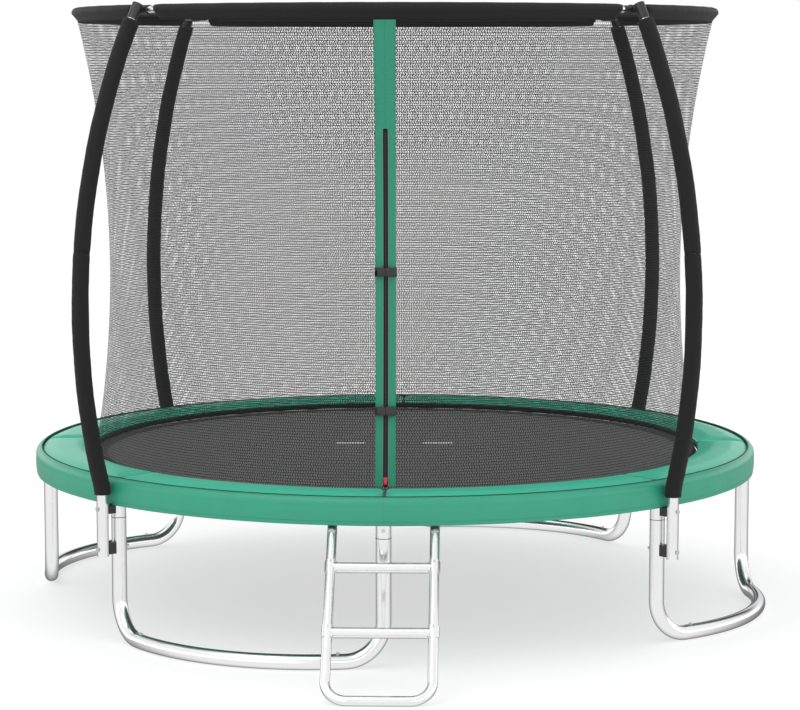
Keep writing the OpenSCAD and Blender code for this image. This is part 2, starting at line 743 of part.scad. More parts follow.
// Folded webbing sewn to the strips: it holds the buckles off the net.
module buckle_straps() {
    in_x = zip_w / 2 + 2;
    color([0.1, 0.1, 0.1]) for (h = [buckle_low_h, buckle_high_h])
        on_net(h) for (x = [-buckle_half_w, in_x])
            translate([x, 0.2, -buckle_tall * 0.4])
                cube([buckle_half_w - in_x, buckle_off - 0.4, buckle_tall * 0.8]);
}

// ---- ladder ----

// The ladder's plane: x across, y along the side tubes from the foot, z out of the plane.
module ladder_plane() {
    translate([0, -ladder_foot_y, lad_ro]) rotate([90 - ladder_lean, 0, 0]) children();
}

module ladder_line(r, over) {
    for (s = [-1, 1])
        translate([s * ladder_x, ladder_bend_r, 0]) rotate([-90, 0, 0])
            cylinder(r = r, h = ladder_top - ladder_bend_r + over);
    translate([-ladder_x + ladder_bend_r, 0, 0]) rotate([0, 90, 0])
        cylinder(r = r, h = 2 * (ladder_x - ladder_bend_r));
    for (s = [0, 1])
        translate([(s * 2 - 1) * (ladder_x - ladder_bend_r), ladder_bend_r, 0])
            rotate([0, 0, s ? 270 : 180]) rotate_extrude(angle = 90)
                translate([ladder_bend_r, 0]) circle(r);
}

module ladder_frame() {
    color("silver") ladder_plane() difference() {
        ladder_line(lad_ro, 0);
        ladder_line(lad_ri, 1);
        for (s = [-1, 1]) hook_screws_at(s)
            cylinder(r = screw_hole_r, h = ladder_d, center = true);
    }
}

// Each step is a tube whose ends are collars around the side tubes.
module ladder_steps() {
    collar_r = lad_ro + 3;
    color("silver") ladder_plane() for (y = step_y) translate([0, y, 0])
        difference() {
            union() {
                translate([-ladder_x + 4, 0, 0]) rotate([0, 90, 0])
                    cylinder(r = step_d / 2, h = 2 * ladder_x - 8);
                for (s = [-1, 1]) translate([s * ladder_x, -socket_len / 2, 0])
                    rotate([-90, 0, 0]) cylinder(r = collar_r, h = socket_len);
            }
            for (s = [-1, 1]) translate([s * ladder_x, -socket_len, 0])
                rotate([-90, 0, 0]) cylinder(r = lad_ro + 0.1, h = 2 * socket_len);
            translate([-ladder_x + collar_r + 4, 0, 0]) rotate([0, 90, 0])
                cylinder(r = step_d / 2 - tube_wall, h = 2 * (ladder_x - collar_r - 4));
        }
}

// Flat steel hooks: a tail on each side tube, then a curve around and over the frame tube.
module ladder_hooks() {
    color("silver") ladder_plane() for (s = [-1, 1]) difference() {
        translate([s * ladder_x - hook_w / 2, ladder_len, ladder_off]) rotate([90, 0, 90])
            linear_extrude(hook_w) hook_outline();
        hook_screws_at(s) cylinder(r = screw_hole_r, h = 3 * hook_t, center = true);
    }
}

// The hook seen from the side, with the frame tube's middle at the origin and the ladder's
// side tube running along -x below it.
module hook_outline() {
    difference() {
        circle(hook_ro);
        circle(hook_ri);
        translate([-2 * hook_ro, -2 * hook_ro]) square(2 * hook_ro);
    }
    translate([-hook_tail, -hook_ro]) square([hook_tail, hook_t]);
}

// The two screws of a hook, on the outer face of its side tube.
module hook_screws_at(s) {
    for (y = [ladder_len - 26, ladder_len - 50]) translate([s * ladder_x, y, hook_seat]) children();
}

module ladder_rivets() {
    color("gray") ladder_plane() {
        for (y = step_y, s = [-1, 1])
            translate([s * ladder_x, y + 14, lad_ro + 3.1]) cylinder(r = 4, h = 2);
        for (s = [-1, 1]) hook_screws_at(s) {
            translate([0, 0, -8]) cylinder(r = screw_r, h = 9 + hook_t);
            translate([0, 0, hook_t + 0.1]) cylinder(r = screw_r * 1.8, h = 2);
        }
    }
}

frame_rail(0);  // frame_rail_1
frame_rail(1);  // frame_rail_2
frame_rail(2);  // frame_rail_3
frame_rail(3);  // frame_rail_4
frame_rail(4);  // frame_rail_5
frame_rail(5);  // frame_rail_6
frame_rail(6);  // frame_rail_7
frame_rail(7);  // frame_rail_8
leg_upright(0);  // leg_upright_1
leg_upright(1);  // leg_upright_2
leg_upright(2);  // leg_upright_3
leg_upright(3);  // leg_upright_4
leg_upright(4);  // leg_upright_5
leg_upright(5);  // leg_upright_6
leg_upright(6);  // leg_upright_7
leg_upright(7);  // leg_upright_8
leg_foot(0);  // leg_foot_1
leg_foot(1);  // leg_foot_2
leg_foot(2);  // leg_foot_3
leg_foot(3);  // leg_foot_4
frame_screws();
jump_mat();
mat_hem();
v_rings();
springs();
spring_pad();
pad_skirt();
pole_lower(0);  // pole_lower_1
pole_lower(1);  // pole_lower_2
pole_lower(2);  // pole_lower_3
pole_lower(3);  // pole_lower_4
pole_upper(0);  // pole_upper_1
pole_upper(1);  // pole_upper_2
pole_upper(2);  // pole_upper_3
pole_upper(3);  // pole_upper_4
pole_spacers();
pole_bolts();
pole_nuts();
foam_lower();
foam_upper();
pole_caps();
hoop_tube(0);  // hoop_tube_1
hoop_tube(1);  // hoop_tube_2
hoop_tube(2);  // hoop_tube_3
hoop_tube(3);  // hoop_tube_4
hoop_screws();
hoop_sleeves();
net();
door_strips();
zip_tape();
zip_slider();
buckle_sockets();
buckle_plug(buckle_low_h);  // buckle_plug_low
buckle_plug(buckle_high_h);  // buckle_plug_high
buckle_straps();
ladder_frame();
ladder_steps();
ladder_hooks();
ladder_rivets();
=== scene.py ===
import json
import math

import bpy
from bpy.props import FloatProperty, FloatVectorProperty, PointerProperty
from mathutils import Matrix, Vector


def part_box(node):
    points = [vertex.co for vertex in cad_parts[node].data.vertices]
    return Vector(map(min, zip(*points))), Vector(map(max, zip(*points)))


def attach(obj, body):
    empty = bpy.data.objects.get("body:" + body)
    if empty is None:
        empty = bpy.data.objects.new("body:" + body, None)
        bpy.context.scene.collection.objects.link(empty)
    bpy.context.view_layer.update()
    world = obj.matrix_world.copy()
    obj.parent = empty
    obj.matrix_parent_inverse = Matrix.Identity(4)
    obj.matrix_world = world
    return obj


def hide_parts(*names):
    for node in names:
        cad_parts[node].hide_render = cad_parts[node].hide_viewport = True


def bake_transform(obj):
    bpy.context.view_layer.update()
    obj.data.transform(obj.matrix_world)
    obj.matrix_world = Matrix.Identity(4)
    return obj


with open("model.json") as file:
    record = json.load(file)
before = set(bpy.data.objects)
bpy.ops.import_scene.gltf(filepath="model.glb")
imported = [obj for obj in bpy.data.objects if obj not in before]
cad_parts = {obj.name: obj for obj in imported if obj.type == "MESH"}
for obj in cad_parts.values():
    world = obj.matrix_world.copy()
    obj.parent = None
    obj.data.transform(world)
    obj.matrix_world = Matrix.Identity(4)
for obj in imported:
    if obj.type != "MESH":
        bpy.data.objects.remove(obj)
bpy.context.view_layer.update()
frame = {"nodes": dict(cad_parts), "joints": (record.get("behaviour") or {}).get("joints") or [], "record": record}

bl_info = {
    "name": "Garden trampoline",
    "version": (1, 0, 0),
    "blender": (4, 5, 0),
    "location": "View3D > Sidebar > Trampoline",
    "description": "Cloth, net, foam and finishes of a round trampoline",
    "category": "Add Mesh",
}

# ---- places, worked out from the CAD nodes; metres ----

TAU = 2 * math.pi
UP = (0, 0, 1)
POSTS = 8
STEP = TAU / POSTS
POLE_ANGLES = [math.radians(45 + 90 * k) for k in range(4)]

MAT_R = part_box("mat_hem")[1].x
MAT_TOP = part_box("jump_mat")[1].z
MAT_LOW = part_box("jump_mat")[0].z
HEM_LOW, HEM_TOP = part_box("mat_hem")[0].z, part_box("mat_hem")[1].z
HEM_W = 0.045

RAIL_R = 0.021
LEG_R = 0.024
FRAME_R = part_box("frame_rail_1")[1].x - LEG_R
FRAME_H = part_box("frame_rail_1")[1].z - RAIL_R
SOCKET_END = FRAME_H - 0.081

PAD_IN = MAT_R + 0.005
PAD_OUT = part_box("spring_pad")[1].x
PAD_LOW, PAD_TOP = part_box("spring_pad")[0].z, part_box("spring_pad")[1].z
SKIRT_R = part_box("pad_skirt")[1].x
SKIRT_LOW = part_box("pad_skirt")[0].z

POLE_R = 0.019
FOAM_R = 0.0265
POLE_AXIS_R = FRAME_R + 0.064
POLE_LEAN = math.radians(15.2)
POLE_BEND_R = 0.16
POLE_STRAIGHT = FRAME_H - 0.002
POLE_JOINT = FRAME_H + 0.769

HOOP_TUBE_R = 0.012
HOOP_H = sum(corner.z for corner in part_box("hoop_tube_1")) / 2
HOOP_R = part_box("hoop_sleeves")[1].x - 0.0175
HOOP_BARE = 0.055 / HOOP_R
SLEEVE_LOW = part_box("hoop_sleeves")[0].z

ZIP_JOINT = next(joint for joint in frame["joints"] if joint["name"] == "zip_slide")
NET_C = (-ZIP_JOINT["pos_m"][1], ZIP_JOINT["pos_m"][2])
NET_R = 3.56
NET_LOW, NET_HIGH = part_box("net")[0].z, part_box("net")[1].z
NET_WAIST = NET_C[0] - NET_R
STRIP_OUT = 0.0018
DOOR_HALF = 0.031
ZIP_HALF = 0.0075
ZIP_LOW, ZIP_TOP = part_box("zip_tape")[0].z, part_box("zip_tape")[1].z
STRIP_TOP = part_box("door_strips")[1].z

SPRING_R = 0.0085
SPRINGS_PER_POST = 6
SPRING_ANGLES = [STEP * (post - 0.5 + (i + 0.5) / SPRINGS_PER_POST)
                 for post in range(POSTS) for i in range(SPRINGS_PER_POST)]
RING_TIP = MAT_R + 0.027


# ---- mesh helpers ----

def deselect():
    if bpy.context.object and bpy.context.object.mode != "OBJECT":
        bpy.ops.object.mode_set(mode="OBJECT")
    bpy.ops.object.select_all(action="DESELECT")


def select_only(obj):
    deselect()
    obj.select_set(True)
    bpy.context.view_layer.objects.active = obj


def named(name):
    """Names the primitive that was just added and moves its place into its mesh."""
    obj = bpy.context.active_object
    obj.name = obj.data.name = name
    bpy.ops.object.transform_apply(location=True, rotation=True, scale=True)
    return obj


def turn_outwards(obj, merge=False):
    """Turns all faces outwards; first, where asked, merges points that lie together."""
    select_only(obj)
    bpy.ops.object.mode_set(mode="EDIT")
    bpy.ops.mesh.select_all(action="SELECT")
    if merge:
        bpy.ops.mesh.remove_doubles(threshold=1e-5)
        bpy.ops.mesh.dissolve_degenerate(threshold=1e-6)
    bpy.ops.mesh.normals_make_consistent(inside=False)
    bpy.ops.object.mode_set(mode="OBJECT")


def smooth(obj, angle=None):
    select_only(obj)
    if angle is None:
        bpy.ops.object.shade_smooth()
    else:
        bpy.ops.object.shade_smooth_by_angle(angle=math.radians(angle))


def modify(obj, kind, **settings):
    """Adds one modifier, sets it and applies it."""
    select_only(obj)
    bpy.ops.object.modifier_add(type=kind)
    modifier = obj.modifiers[-1]
    for key, value in settings.items():
        setattr(modifier, key, value)
    bpy.ops.object.modifier_apply(modifier=modifier.name)
    return obj


def wrap(name, across, along, place, size=(1.0, 1.0), closed=True):
    """A grid bent to the surface place(u, v), with u, v from 0 to 1 and a UV map in metres."""
    deselect()
    bpy.ops.mesh.primitive_grid_add(x_subdivisions=across, y_subdivisions=along, size=2)
    obj = named(name)
    for corner in obj.data.uv_layers[0].data:
        corner.uv = (corner.uv[0] * size[0], corner.uv[1] * size[1])
    for vertex in obj.data.vertices:
        vertex.co = place((vertex.co.x + 1) / 2, (vertex.co.y + 1) / 2)
    if closed:
        turn_outwards(obj, merge=True)
    smooth(obj)
    return obj


def face_towards(obj, index, direction):
    """Turns an open sheet's faces over where the chosen face looks away from the direction."""
    if obj.data.polygons[index].normal.dot(Vector(direction)) < 0:
        select_only(obj)
        bpy.ops.object.mode_set(mode="EDIT")
        bpy.ops.mesh.select_all(action="SELECT")
        bpy.ops.mesh.flip_normals()
        bpy.ops.object.mode_set(mode="OBJECT")


def face_outwards(obj):
    """Turns an open sheet's faces away from the trampoline's axis."""
    index = len(obj.data.polygons) // 2
    centre = obj.data.polygons[index].center
    face_towards(obj, index, (centre.x, centre.y, 0))


def polar(radius, angle, z):
    return Vector((radius * math.cos(angle), radius * math.sin(angle), z))


def along_loop(points, t):
    """The point at the share t of the way round a closed list of points."""
    place = (t % 1.0) * len(points)
    index = int(place) % len(points)
    rest = place - int(place)
    first, second = Vector(points[index]), Vector(points[(index + 1) % len(points)])
    return first.lerp(second, rest)


def loop_length(points):
    return sum((Vector(points[i]) - Vector(points[i - 1])).length for i in range(len(points)))


def round_ring(name, profile, around=256, wave=None):
    """A closed ring about the trampoline's axis, from the closed outline of (radius, height)."""
    count = len(profile)

    def place(u, v):
        radius, z = along_loop(profile, v)
        angle = u * TAU
        if wave:
            radius += wave(angle, z)
        return polar(radius, angle, z)

    mean = sum(point[0] for point in profile) / count
    return wrap(name, around, count, place, (TAU * mean, loop_length(profile)))


def rounded_box(name, low, high, bevel, segments=3):
    """A block between two corners with rounded edges, in its own place."""
    deselect()
    low, high = Vector(low), Vector(high)
    bpy.ops.mesh.primitive_cube_add(size=1, location=(low + high) / 2, scale=high - low)
    obj = named(name)
    modify(obj, "BEVEL", width=bevel, segments=segments, limit_method="NONE")
    smooth(obj, 40)
    return obj


def joined(name, parts):
    deselect()
    for part in parts:
        part.select_set(True)
    bpy.context.view_layer.objects.active = parts[0]
    bpy.ops.object.join()
    return named(name)


def moved(obj, matrix):
    obj.data.transform(matrix)
    obj.data.update()
    return obj


def turned_copy(obj, name, angle):
    """A copy turned about the trampoline's axis."""
    twin = bpy.data.objects.new(name, obj.data.copy())
    twin.data.name = name
    bpy.context.collection.objects.link(twin)
    return moved(twin, Matrix.Rotation(angle, 4, "Z"))


def finish_piece(obj, material, body=None, replaces=()):
    obj.data.materials.clear()
    obj.data.materials.append(material)
    if replaces:
        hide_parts(*replaces)
    if body:
        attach(obj, body)
    return obj


def wire(name, points, radius, sides=8, closed=False):
    """A round wire through the points, as a closed mesh."""
    points = [Vector(p) for p in points]
    last = len(points) - 1

    def frame_at(index):
        if closed:
            ahead, behind = points[(index + 1) % len(points)], points[index - 1]
        else:
            ahead, behind = points[min(index + 1, last)], points[max(index - 1, 0)]
        along = (ahead - behind).normalized()
        helper = Vector((0, 0, 1)) if abs(along.z) < 0.9 else Vector((1, 0, 0))
        side = along.cross(helper).normalized()
        return side, side.cross(along)

    frames = [frame_at(i) for i in range(len(points))]
    rings = len(points) if closed else len(points) + 1

    def place(u, v):
        index = round(v * rings)
        size = radius
        if closed:
            index %= len(points)
        else:
            size = 0.0 if index in (0, rings) else radius
            index = min(max(index - 1, 0), last) if index < rings else last
        side, up = frames[index]
        angle = u * TAU
        return points[index] + side * (size * math.cos(angle)) + up * (size * math.sin(angle))

    return wrap(name, sides, rings, place, (TAU * radius, 1.0))


# ---- material helpers ----

def add(tree, kind, settings=None, inputs=None):
    """One shader node with its settings; an input is a value or another node's output."""
    made = tree.nodes.new(kind)
    for key, value in (settings or {}).items():
        setattr(made, key, value)
    for key, value in (inputs or {}).items():
        if isinstance(value, bpy.types.NodeSocket):
            tree.links.new(value, made.inputs[key])
        else:
            made.inputs[key].default_value = value
    return made


def calc(tree, operation, first, second=None, third=None):
    inputs = {0: first}
    if second is not None:
        inputs[1] = second
    if third is not None:
        inputs[2] = third
    return add(tree, "ShaderNodeMath", {"operation": operation}, inputs).outputs[0]


def new_group(name, inputs, outputs):
    """A shader node group. Inputs are (name, socket kind, default); outputs are names."""
    tree = bpy.data.node_groups.new(name, "ShaderNodeTree")
    for label, kind, default in inputs:
        made = tree.interface.new_socket(name=label, in_out="INPUT", socket_type=kind)
        if default is not None:
            made.default_value = default
    for label in outputs:
        tree.interface.new_socket(name=label, in_out="OUTPUT", socket_type="NodeSocketFloat")
    return tree, tree.nodes.new("NodeGroupInput"), tree.nodes.new("NodeGroupOutput")


def product(tree, first, *others):
    for other in others:
        first = calc(tree, "MULTIPLY", first, other)
    return first


def ramp(tree, value, low, high):
    """0 at low, 1 at high and smooth between them."""
    return add(tree, "ShaderNodeMapRange", {"interpolation_type": "SMOOTHSTEP"},
               {0: value, 1: low, 2: high}).outputs[0]


def split(tree, vector):
    return add(tree, "ShaderNodeSeparateXYZ", None, {0: vector}).outputs


def use(tree, group_name, inputs):
    settings = {"node_tree": bpy.data.node_groups[group_name]}
    return add(tree, "ShaderNodeGroup", settings, inputs).outputs


def uneven(tree, vector, scale, amount):
    return use(tree, "Uneven tone", {"Vector": vector, "Scale": scale, "Amount": amount})


def woven(tree, vector, warp, weft, depth):
    return use(tree, "Woven threads", {"Vector": vector, "Warp": warp, "Weft": weft,
                                       "Depth": depth})


def woven_group():
    """Plain weave: threads per metre each way, raised where they pass over. Its Shade output darkens the lower
    threads: painted shade in the weave's hollows.
    """
    tree, given, result = new_group(
        "Woven threads",
        [("Vector", "NodeSocketVector", None), ("Warp", "NodeSocketFloat", 400.0),
         ("Weft", "NodeSocketFloat", 400.0), ("Depth", "NodeSocketFloat", 0.25)],
        ["Height", "Shade"])
    parts = split(tree, given.outputs["Vector"])
    warp, weft = (calc(tree, "SINE", product(tree, parts[i], given.outputs[way], math.pi))
                  for i, way in enumerate(("Warp", "Weft")))
    over = calc(tree, "GREATER_THAN", calc(tree, "MULTIPLY", warp, weft), 0.0)
    warp, weft = calc(tree, "ABSOLUTE", warp), calc(tree, "ABSOLUTE", weft)
    high = calc(tree, "ADD", calc(tree, "MULTIPLY", warp, over),
                calc(tree, "MULTIPLY", weft, calc(tree, "SUBTRACT", 1.0, over)))
    tree.links.new(high, result.inputs["Height"])
    # Painted shade: the lower threads are darkened by Depth.
    low = calc(tree, "SUBTRACT", 1.0, given.outputs["Depth"])
    shade = calc(tree, "MULTIPLY_ADD", high, given.outputs["Depth"], low)
    tree.links.new(shade, result.inputs["Shade"])


def mottle_group():
    """Slow and fine unevenness around 1, for colour and roughness."""
    tree, given, result = new_group(
        "Uneven tone",
        [("Vector", "NodeSocketVector", None), ("Scale", "NodeSocketFloat", 6.0),
         ("Amount", "NodeSocketFloat", 0.15)],
        ["Shade", "Height"])
    noise = add(tree, "ShaderNodeTexNoise", None,
                {"Vector": given.outputs["Vector"], "Scale": given.outputs["Scale"],
                 "Detail": 5.0, "Roughness": 0.6}).outputs[0]
    centred = calc(tree, "MULTIPLY", calc(tree, "SUBTRACT", noise, 0.5), 2.0)
    shade = calc(tree, "MULTIPLY_ADD", centred, given.outputs["Amount"], 1.0)
    tree.links.new(shade, result.inputs["Shade"])
    tree.links.new(noise, result.inputs["Height"])


def stitch_group():
    """A row of dashed stitches at one place across, repeated along."""
    tree, given, result = new_group(
        "Stitch row",
        [("Along", "NodeSocketFloat", 0.0), ("Across", "NodeSocketFloat", 0.0),
         ("Row", "NodeSocketFloat", 0.0), ("Pitch", "NodeSocketFloat", 0.006),
         ("Half width", "NodeSocketFloat", 0.0006)],
        ["Mask"])
    off = calc(tree, "ABSOLUTE", calc(tree, "SUBTRACT", given.outputs["Across"],
                                      given.outputs["Row"]))
    inside = calc(tree, "LESS_THAN", off, given.outputs["Half width"])
    turn = calc(tree, "FRACT", calc(tree, "DIVIDE", given.outputs["Along"],
                                    given.outputs["Pitch"]))
    dash = calc(tree, "LESS_THAN", turn, 0.68)
    tree.links.new(calc(tree, "MULTIPLY", inside, dash), result.inputs["Mask"])


def surface(name, colour, roughness, metallic=0.0, **more):
    """A material with its Principled BSDF; further sockets are given by name."""
    material = bpy.data.materials.new(name)
    material.use_nodes = True
    shader = material.node_tree.nodes["Principled BSDF"]
    shader.inputs["Base Color"].default_value = (*colour, 1.0)
    shader.inputs["Roughness"].default_value = roughness
    shader.inputs["Metallic"].default_value = metallic
    for key, value in more.items():
        shader.inputs[key.replace("_", " ")].default_value = value
    return material, material.node_tree, shader


def shaded(tree, shader, colour, shade):
    """Base colour times a shade."""
    mix = add(tree, "ShaderNodeMix", {"data_type": "RGBA", "blend_type": "MULTIPLY"})
    mix.inputs[0].default_value = 1.0
    if isinstance(colour, bpy.types.NodeSocket):
        tree.links.new(colour, mix.inputs[6])
    else:
        mix.inputs[6].default_value = (*colour, 1.0)
    tree.links.new(shade, mix.inputs[7])
    tree.links.new(mix.outputs[2], shader.inputs["Base Color"])


def two_tone(tree, first, second, mask):
    mix = add(tree, "ShaderNodeMix", {"data_type": "RGBA"})
    mix.inputs[6].default_value = (*first, 1.0)
    mix.inputs[7].default_value = (*second, 1.0)
    tree.links.new(mask, mix.inputs[0])
    return mix.outputs[2]


def bumped(tree, shader, height, distance, strength=1.0):
    bump = add(tree, "ShaderNodeBump", None,
               {"Height": height, "Distance": distance, "Strength": strength})
    tree.links.new(bump.outputs[0], shader.inputs["Normal"])


def uv(tree):
    return add(tree, "ShaderNodeUVMap").outputs[0]


def here(tree):
    return add(tree, "ShaderNodeTexCoord").outputs["Object"]


def colours():
    return bpy.context.scene.trampoline_colours


def sizes():
    return bpy.context.scene.trampoline_sizes


# ---- materials ----

def metal(name, colour, roughness, grain):
    """Zinc-coated steel: a fine crystalline grain and faint handling marks."""
    material, tree, shader = surface(name, colour, roughness, 1.0,
                                     Specular_Tint=(0.42, 0.42, 0.43, 1.0))
    point = here(tree)
    fine = uneven(tree, point, grain, 0.03)
    broad = uneven(tree, point, 9.0, 0.04)
    shade = calc(tree, "MULTIPLY", fine["Shade"], broad["Shade"])
    shaded(tree, shader, colour, shade)
    tree.links.new(product(tree, shade, shade, roughness), shader.inputs["Roughness"])
    bumped(tree, shader, fine["Height"], 0.00005, 0.4)
    return material


def cloth(name, colour, warp, weft, depth, roughness=0.85, bump=0.0006, sheen=0.2):
    """Woven cloth or webbing on the piece's own UV map."""
    material, tree, shader = surface(name, colour, roughness, Sheen_Weight=sheen,
                                     Specular_IOR_Level=0.3)
    weave = woven(tree, uv(tree), warp, weft, depth)
    broad = uneven(tree, here(tree), 5.0, 0.10)
    # The weave's shade is painted shade in its hollows; the broad tone differs at random.
    shaded(tree, shader, colour, calc(tree, "MULTIPLY", weave["Shade"], broad["Shade"]))
    bumped(tree, shader, weave["Height"], bump)
    return material


def stitched_cloth(name, colour, thread, warp, weft, rows, sheen=0.2, roughness=0.8):
    """Woven webbing with rows of stitches; rows are places across, in metres."""
    material = cloth(name, colour, warp, weft, 0.3, roughness, 0.0005, sheen)
    tree = material.node_tree
    shader = tree.nodes["Principled BSDF"]
    parts = split(tree, uv(tree))
    mask = None
    for row in rows:
        stitch = use(tree, "Stitch row", {"Along": parts[1], "Across": parts[0], "Row": row})
        mask = stitch["Mask"] if mask is None else calc(tree, "MAXIMUM", mask, stitch["Mask"])
    weave = woven(tree, uv(tree), warp, weft, 0.25)
    # The weave's shade is painted shade in its hollows.
    shaded(tree, shader, two_tone(tree, colour, thread, mask), weave["Shade"])
    height = calc(tree, "ADD", weave["Height"], mask)
    bumped(tree, shader, height, 0.0005)
    return material


def vinyl(name, colour):
    """Coated cloth: soft sheen, a shallow grain and slight creases."""
    material, tree, shader = surface(name, colour, 0.42, Coat_Weight=0.12,
                                     Coat_Roughness=0.3, Specular_IOR_Level=0.42)
    point = here(tree)
    grain = uneven(tree, point, 420.0, 0.04)
    crease = uneven(tree, point, 9.0, 0.07)
    shade = calc(tree, "MULTIPLY", grain["Shade"], crease["Shade"])
    shaded(tree, shader, colour, shade)
    tree.links.new(calc(tree, "MULTIPLY", crease["Shade"], 0.42), shader.inputs["Roughness"])
    height = calc(tree, "MULTIPLY_ADD", crease["Height"], 6.0, grain["Height"])
    bumped(tree, shader, height, 0.0004, 0.7)
    return material


def skirt_vinyl_painted_shade(name, colour):
    """The pad's vinyl in the skirt's colour, painted darker than the top's as painted shade, with a sewn seam at
    every post and a hem stitched along its lower edge.
    """
    material = vinyl(name, colour)
    tree = material.node_tree
    shader = tree.nodes["Principled BSDF"]
    point = here(tree)
    parts = split(tree, point)
    angle = calc(tree, "ARCTAN2", parts[1], parts[0])
    turn = calc(tree, "FRACT", calc(tree, "DIVIDE", calc(tree, "ADD", angle, TAU), STEP))
    off = calc(tree, "SUBTRACT", 0.5, calc(tree, "ABSOLUTE", calc(tree, "SUBTRACT", turn, 0.5)))
    seam = calc(tree, "SUBTRACT", 1.0,
                calc(tree, "MINIMUM", calc(tree, "MULTIPLY", off, STEP * SKIRT_R / 0.004), 1.0))
    around = calc(tree, "MULTIPLY", angle, SKIRT_R)
    hem = use(tree, "Stitch row", {"Along": around, "Across": parts[2],
                                   "Row": SKIRT_LOW + 0.012, "Pitch": 0.007})["Mask"]
    tone = uneven(tree, point, 9.0, 0.07)
    shade = calc(tree, "MULTIPLY", tone["Shade"],
                 calc(tree, "MULTIPLY_ADD", seam, -0.07, 1.0))
    shade = calc(tree, "MULTIPLY", shade, calc(tree, "MULTIPLY_ADD", hem, -0.3, 1.0))
    shaded(tree, shader, colour, shade)
    height = calc(tree, "MULTIPLY_ADD", seam, -0.2, calc(tree, "MULTIPLY", tone["Height"], 1.6))
    bumped(tree, shader, calc(tree, "MULTIPLY_ADD", hem, -0.5, height), 0.0015)
    return material


def mesh_net(name, colour):
    """Knitted netting: strong threads across, thin zigzag threads between them, open holes."""
    material, tree, shader = surface(name, colour, 0.8, Specular_IOR_Level=0.2)
    size = sizes()
    parts = split(tree, uv(tree))
    slack = uneven(tree, uv(tree), 14.0, 0.9)["Shade"]
    rows = calc(tree, "DIVIDE", parts[1], size.net_row)
    columns = calc(tree, "DIVIDE", parts[0], size.net_column)
    wobble = calc(tree, "MULTIPLY", calc(tree, "SINE", calc(tree, "MULTIPLY", columns, TAU)), 0.10)
    rows = calc(tree, "ADD", rows, calc(tree, "MULTIPLY_ADD", slack, 0.3, wobble))
    row = calc(tree, "ABSOLUTE", calc(tree, "SUBTRACT", calc(tree, "FRACT", rows), 0.5))
    yarn = uneven(tree, uv(tree), 190.0, 1.1)["Shade"]
    across = calc(tree, "LESS_THAN", row,
                  calc(tree, "MULTIPLY", yarn, size.net_thread / size.net_row * 0.38))
    parity = calc(tree, "MULTIPLY", calc(tree, "PINGPONG", rows, 1.0), 0.5)
    column = calc(tree, "ABSOLUTE", calc(tree, "SUBTRACT",
                  calc(tree, "FRACT", calc(tree, "ADD", columns, parity)), 0.5))
    upright = calc(tree, "LESS_THAN", column,
                   calc(tree, "MULTIPLY", yarn, size.net_thread / size.net_column * 0.42))
    thread = calc(tree, "MAXIMUM", across, upright)
    tree.links.new(thread, shader.inputs["Alpha"])
    tone = uneven(tree, here(tree), 30.0, 0.2)
    shaded(tree, shader, colour, tone["Shade"])
    material.surface_render_method = "DITHERED"
    return material


def jump_cloth(name, colour):
    """Tight polypropylene weave with its faint square grid, both drawn as painted shade in their hollows."""
    material, tree, shader = surface(name, colour, 0.62, Specular_IOR_Level=0.35,
                                     Sheen_Weight=0.25)
    point = here(tree)
    weave = woven(tree, point, 380.0, 380.0, 0.4)
    ribs = woven(tree, point, 116.0, 22.0, 0.09)
    long = add(tree, "ShaderNodeMapping", {"vector_type": "POINT"},
               {"Vector": point, "Scale": (6.0, 42.0, 1.0)}).outputs[0]
    slub = uneven(tree, long, 1.0, 0.22)
    tone = uneven(tree, point, 3.0, 0.10)
    # Painted shade in the hollows of the weave and the grid; slub and tone differ at random.
    shade = product(tree, weave["Shade"], ribs["Shade"], slub["Shade"], tone["Shade"])
    shaded(tree, shader, colour, shade)
    bumped(tree, shader, weave["Height"], 0.0002)
    return material


def moulded(name, colour, roughness):
    """Moulded plastic with a fine spark texture."""
    material, tree, shader = surface(name, colour, roughness, Specular_IOR_Level=0.5)
    fine = uneven(tree, here(tree), 900.0, 0.08)
    shaded(tree, shader, colour, fine["Shade"])
    rough = calc(tree, "MULTIPLY", fine["Shade"], roughness)
    tree.links.new(rough, shader.inputs["Roughness"])
    bumped(tree, shader, fine["Height"], 0.0001, 0.5)
    return material


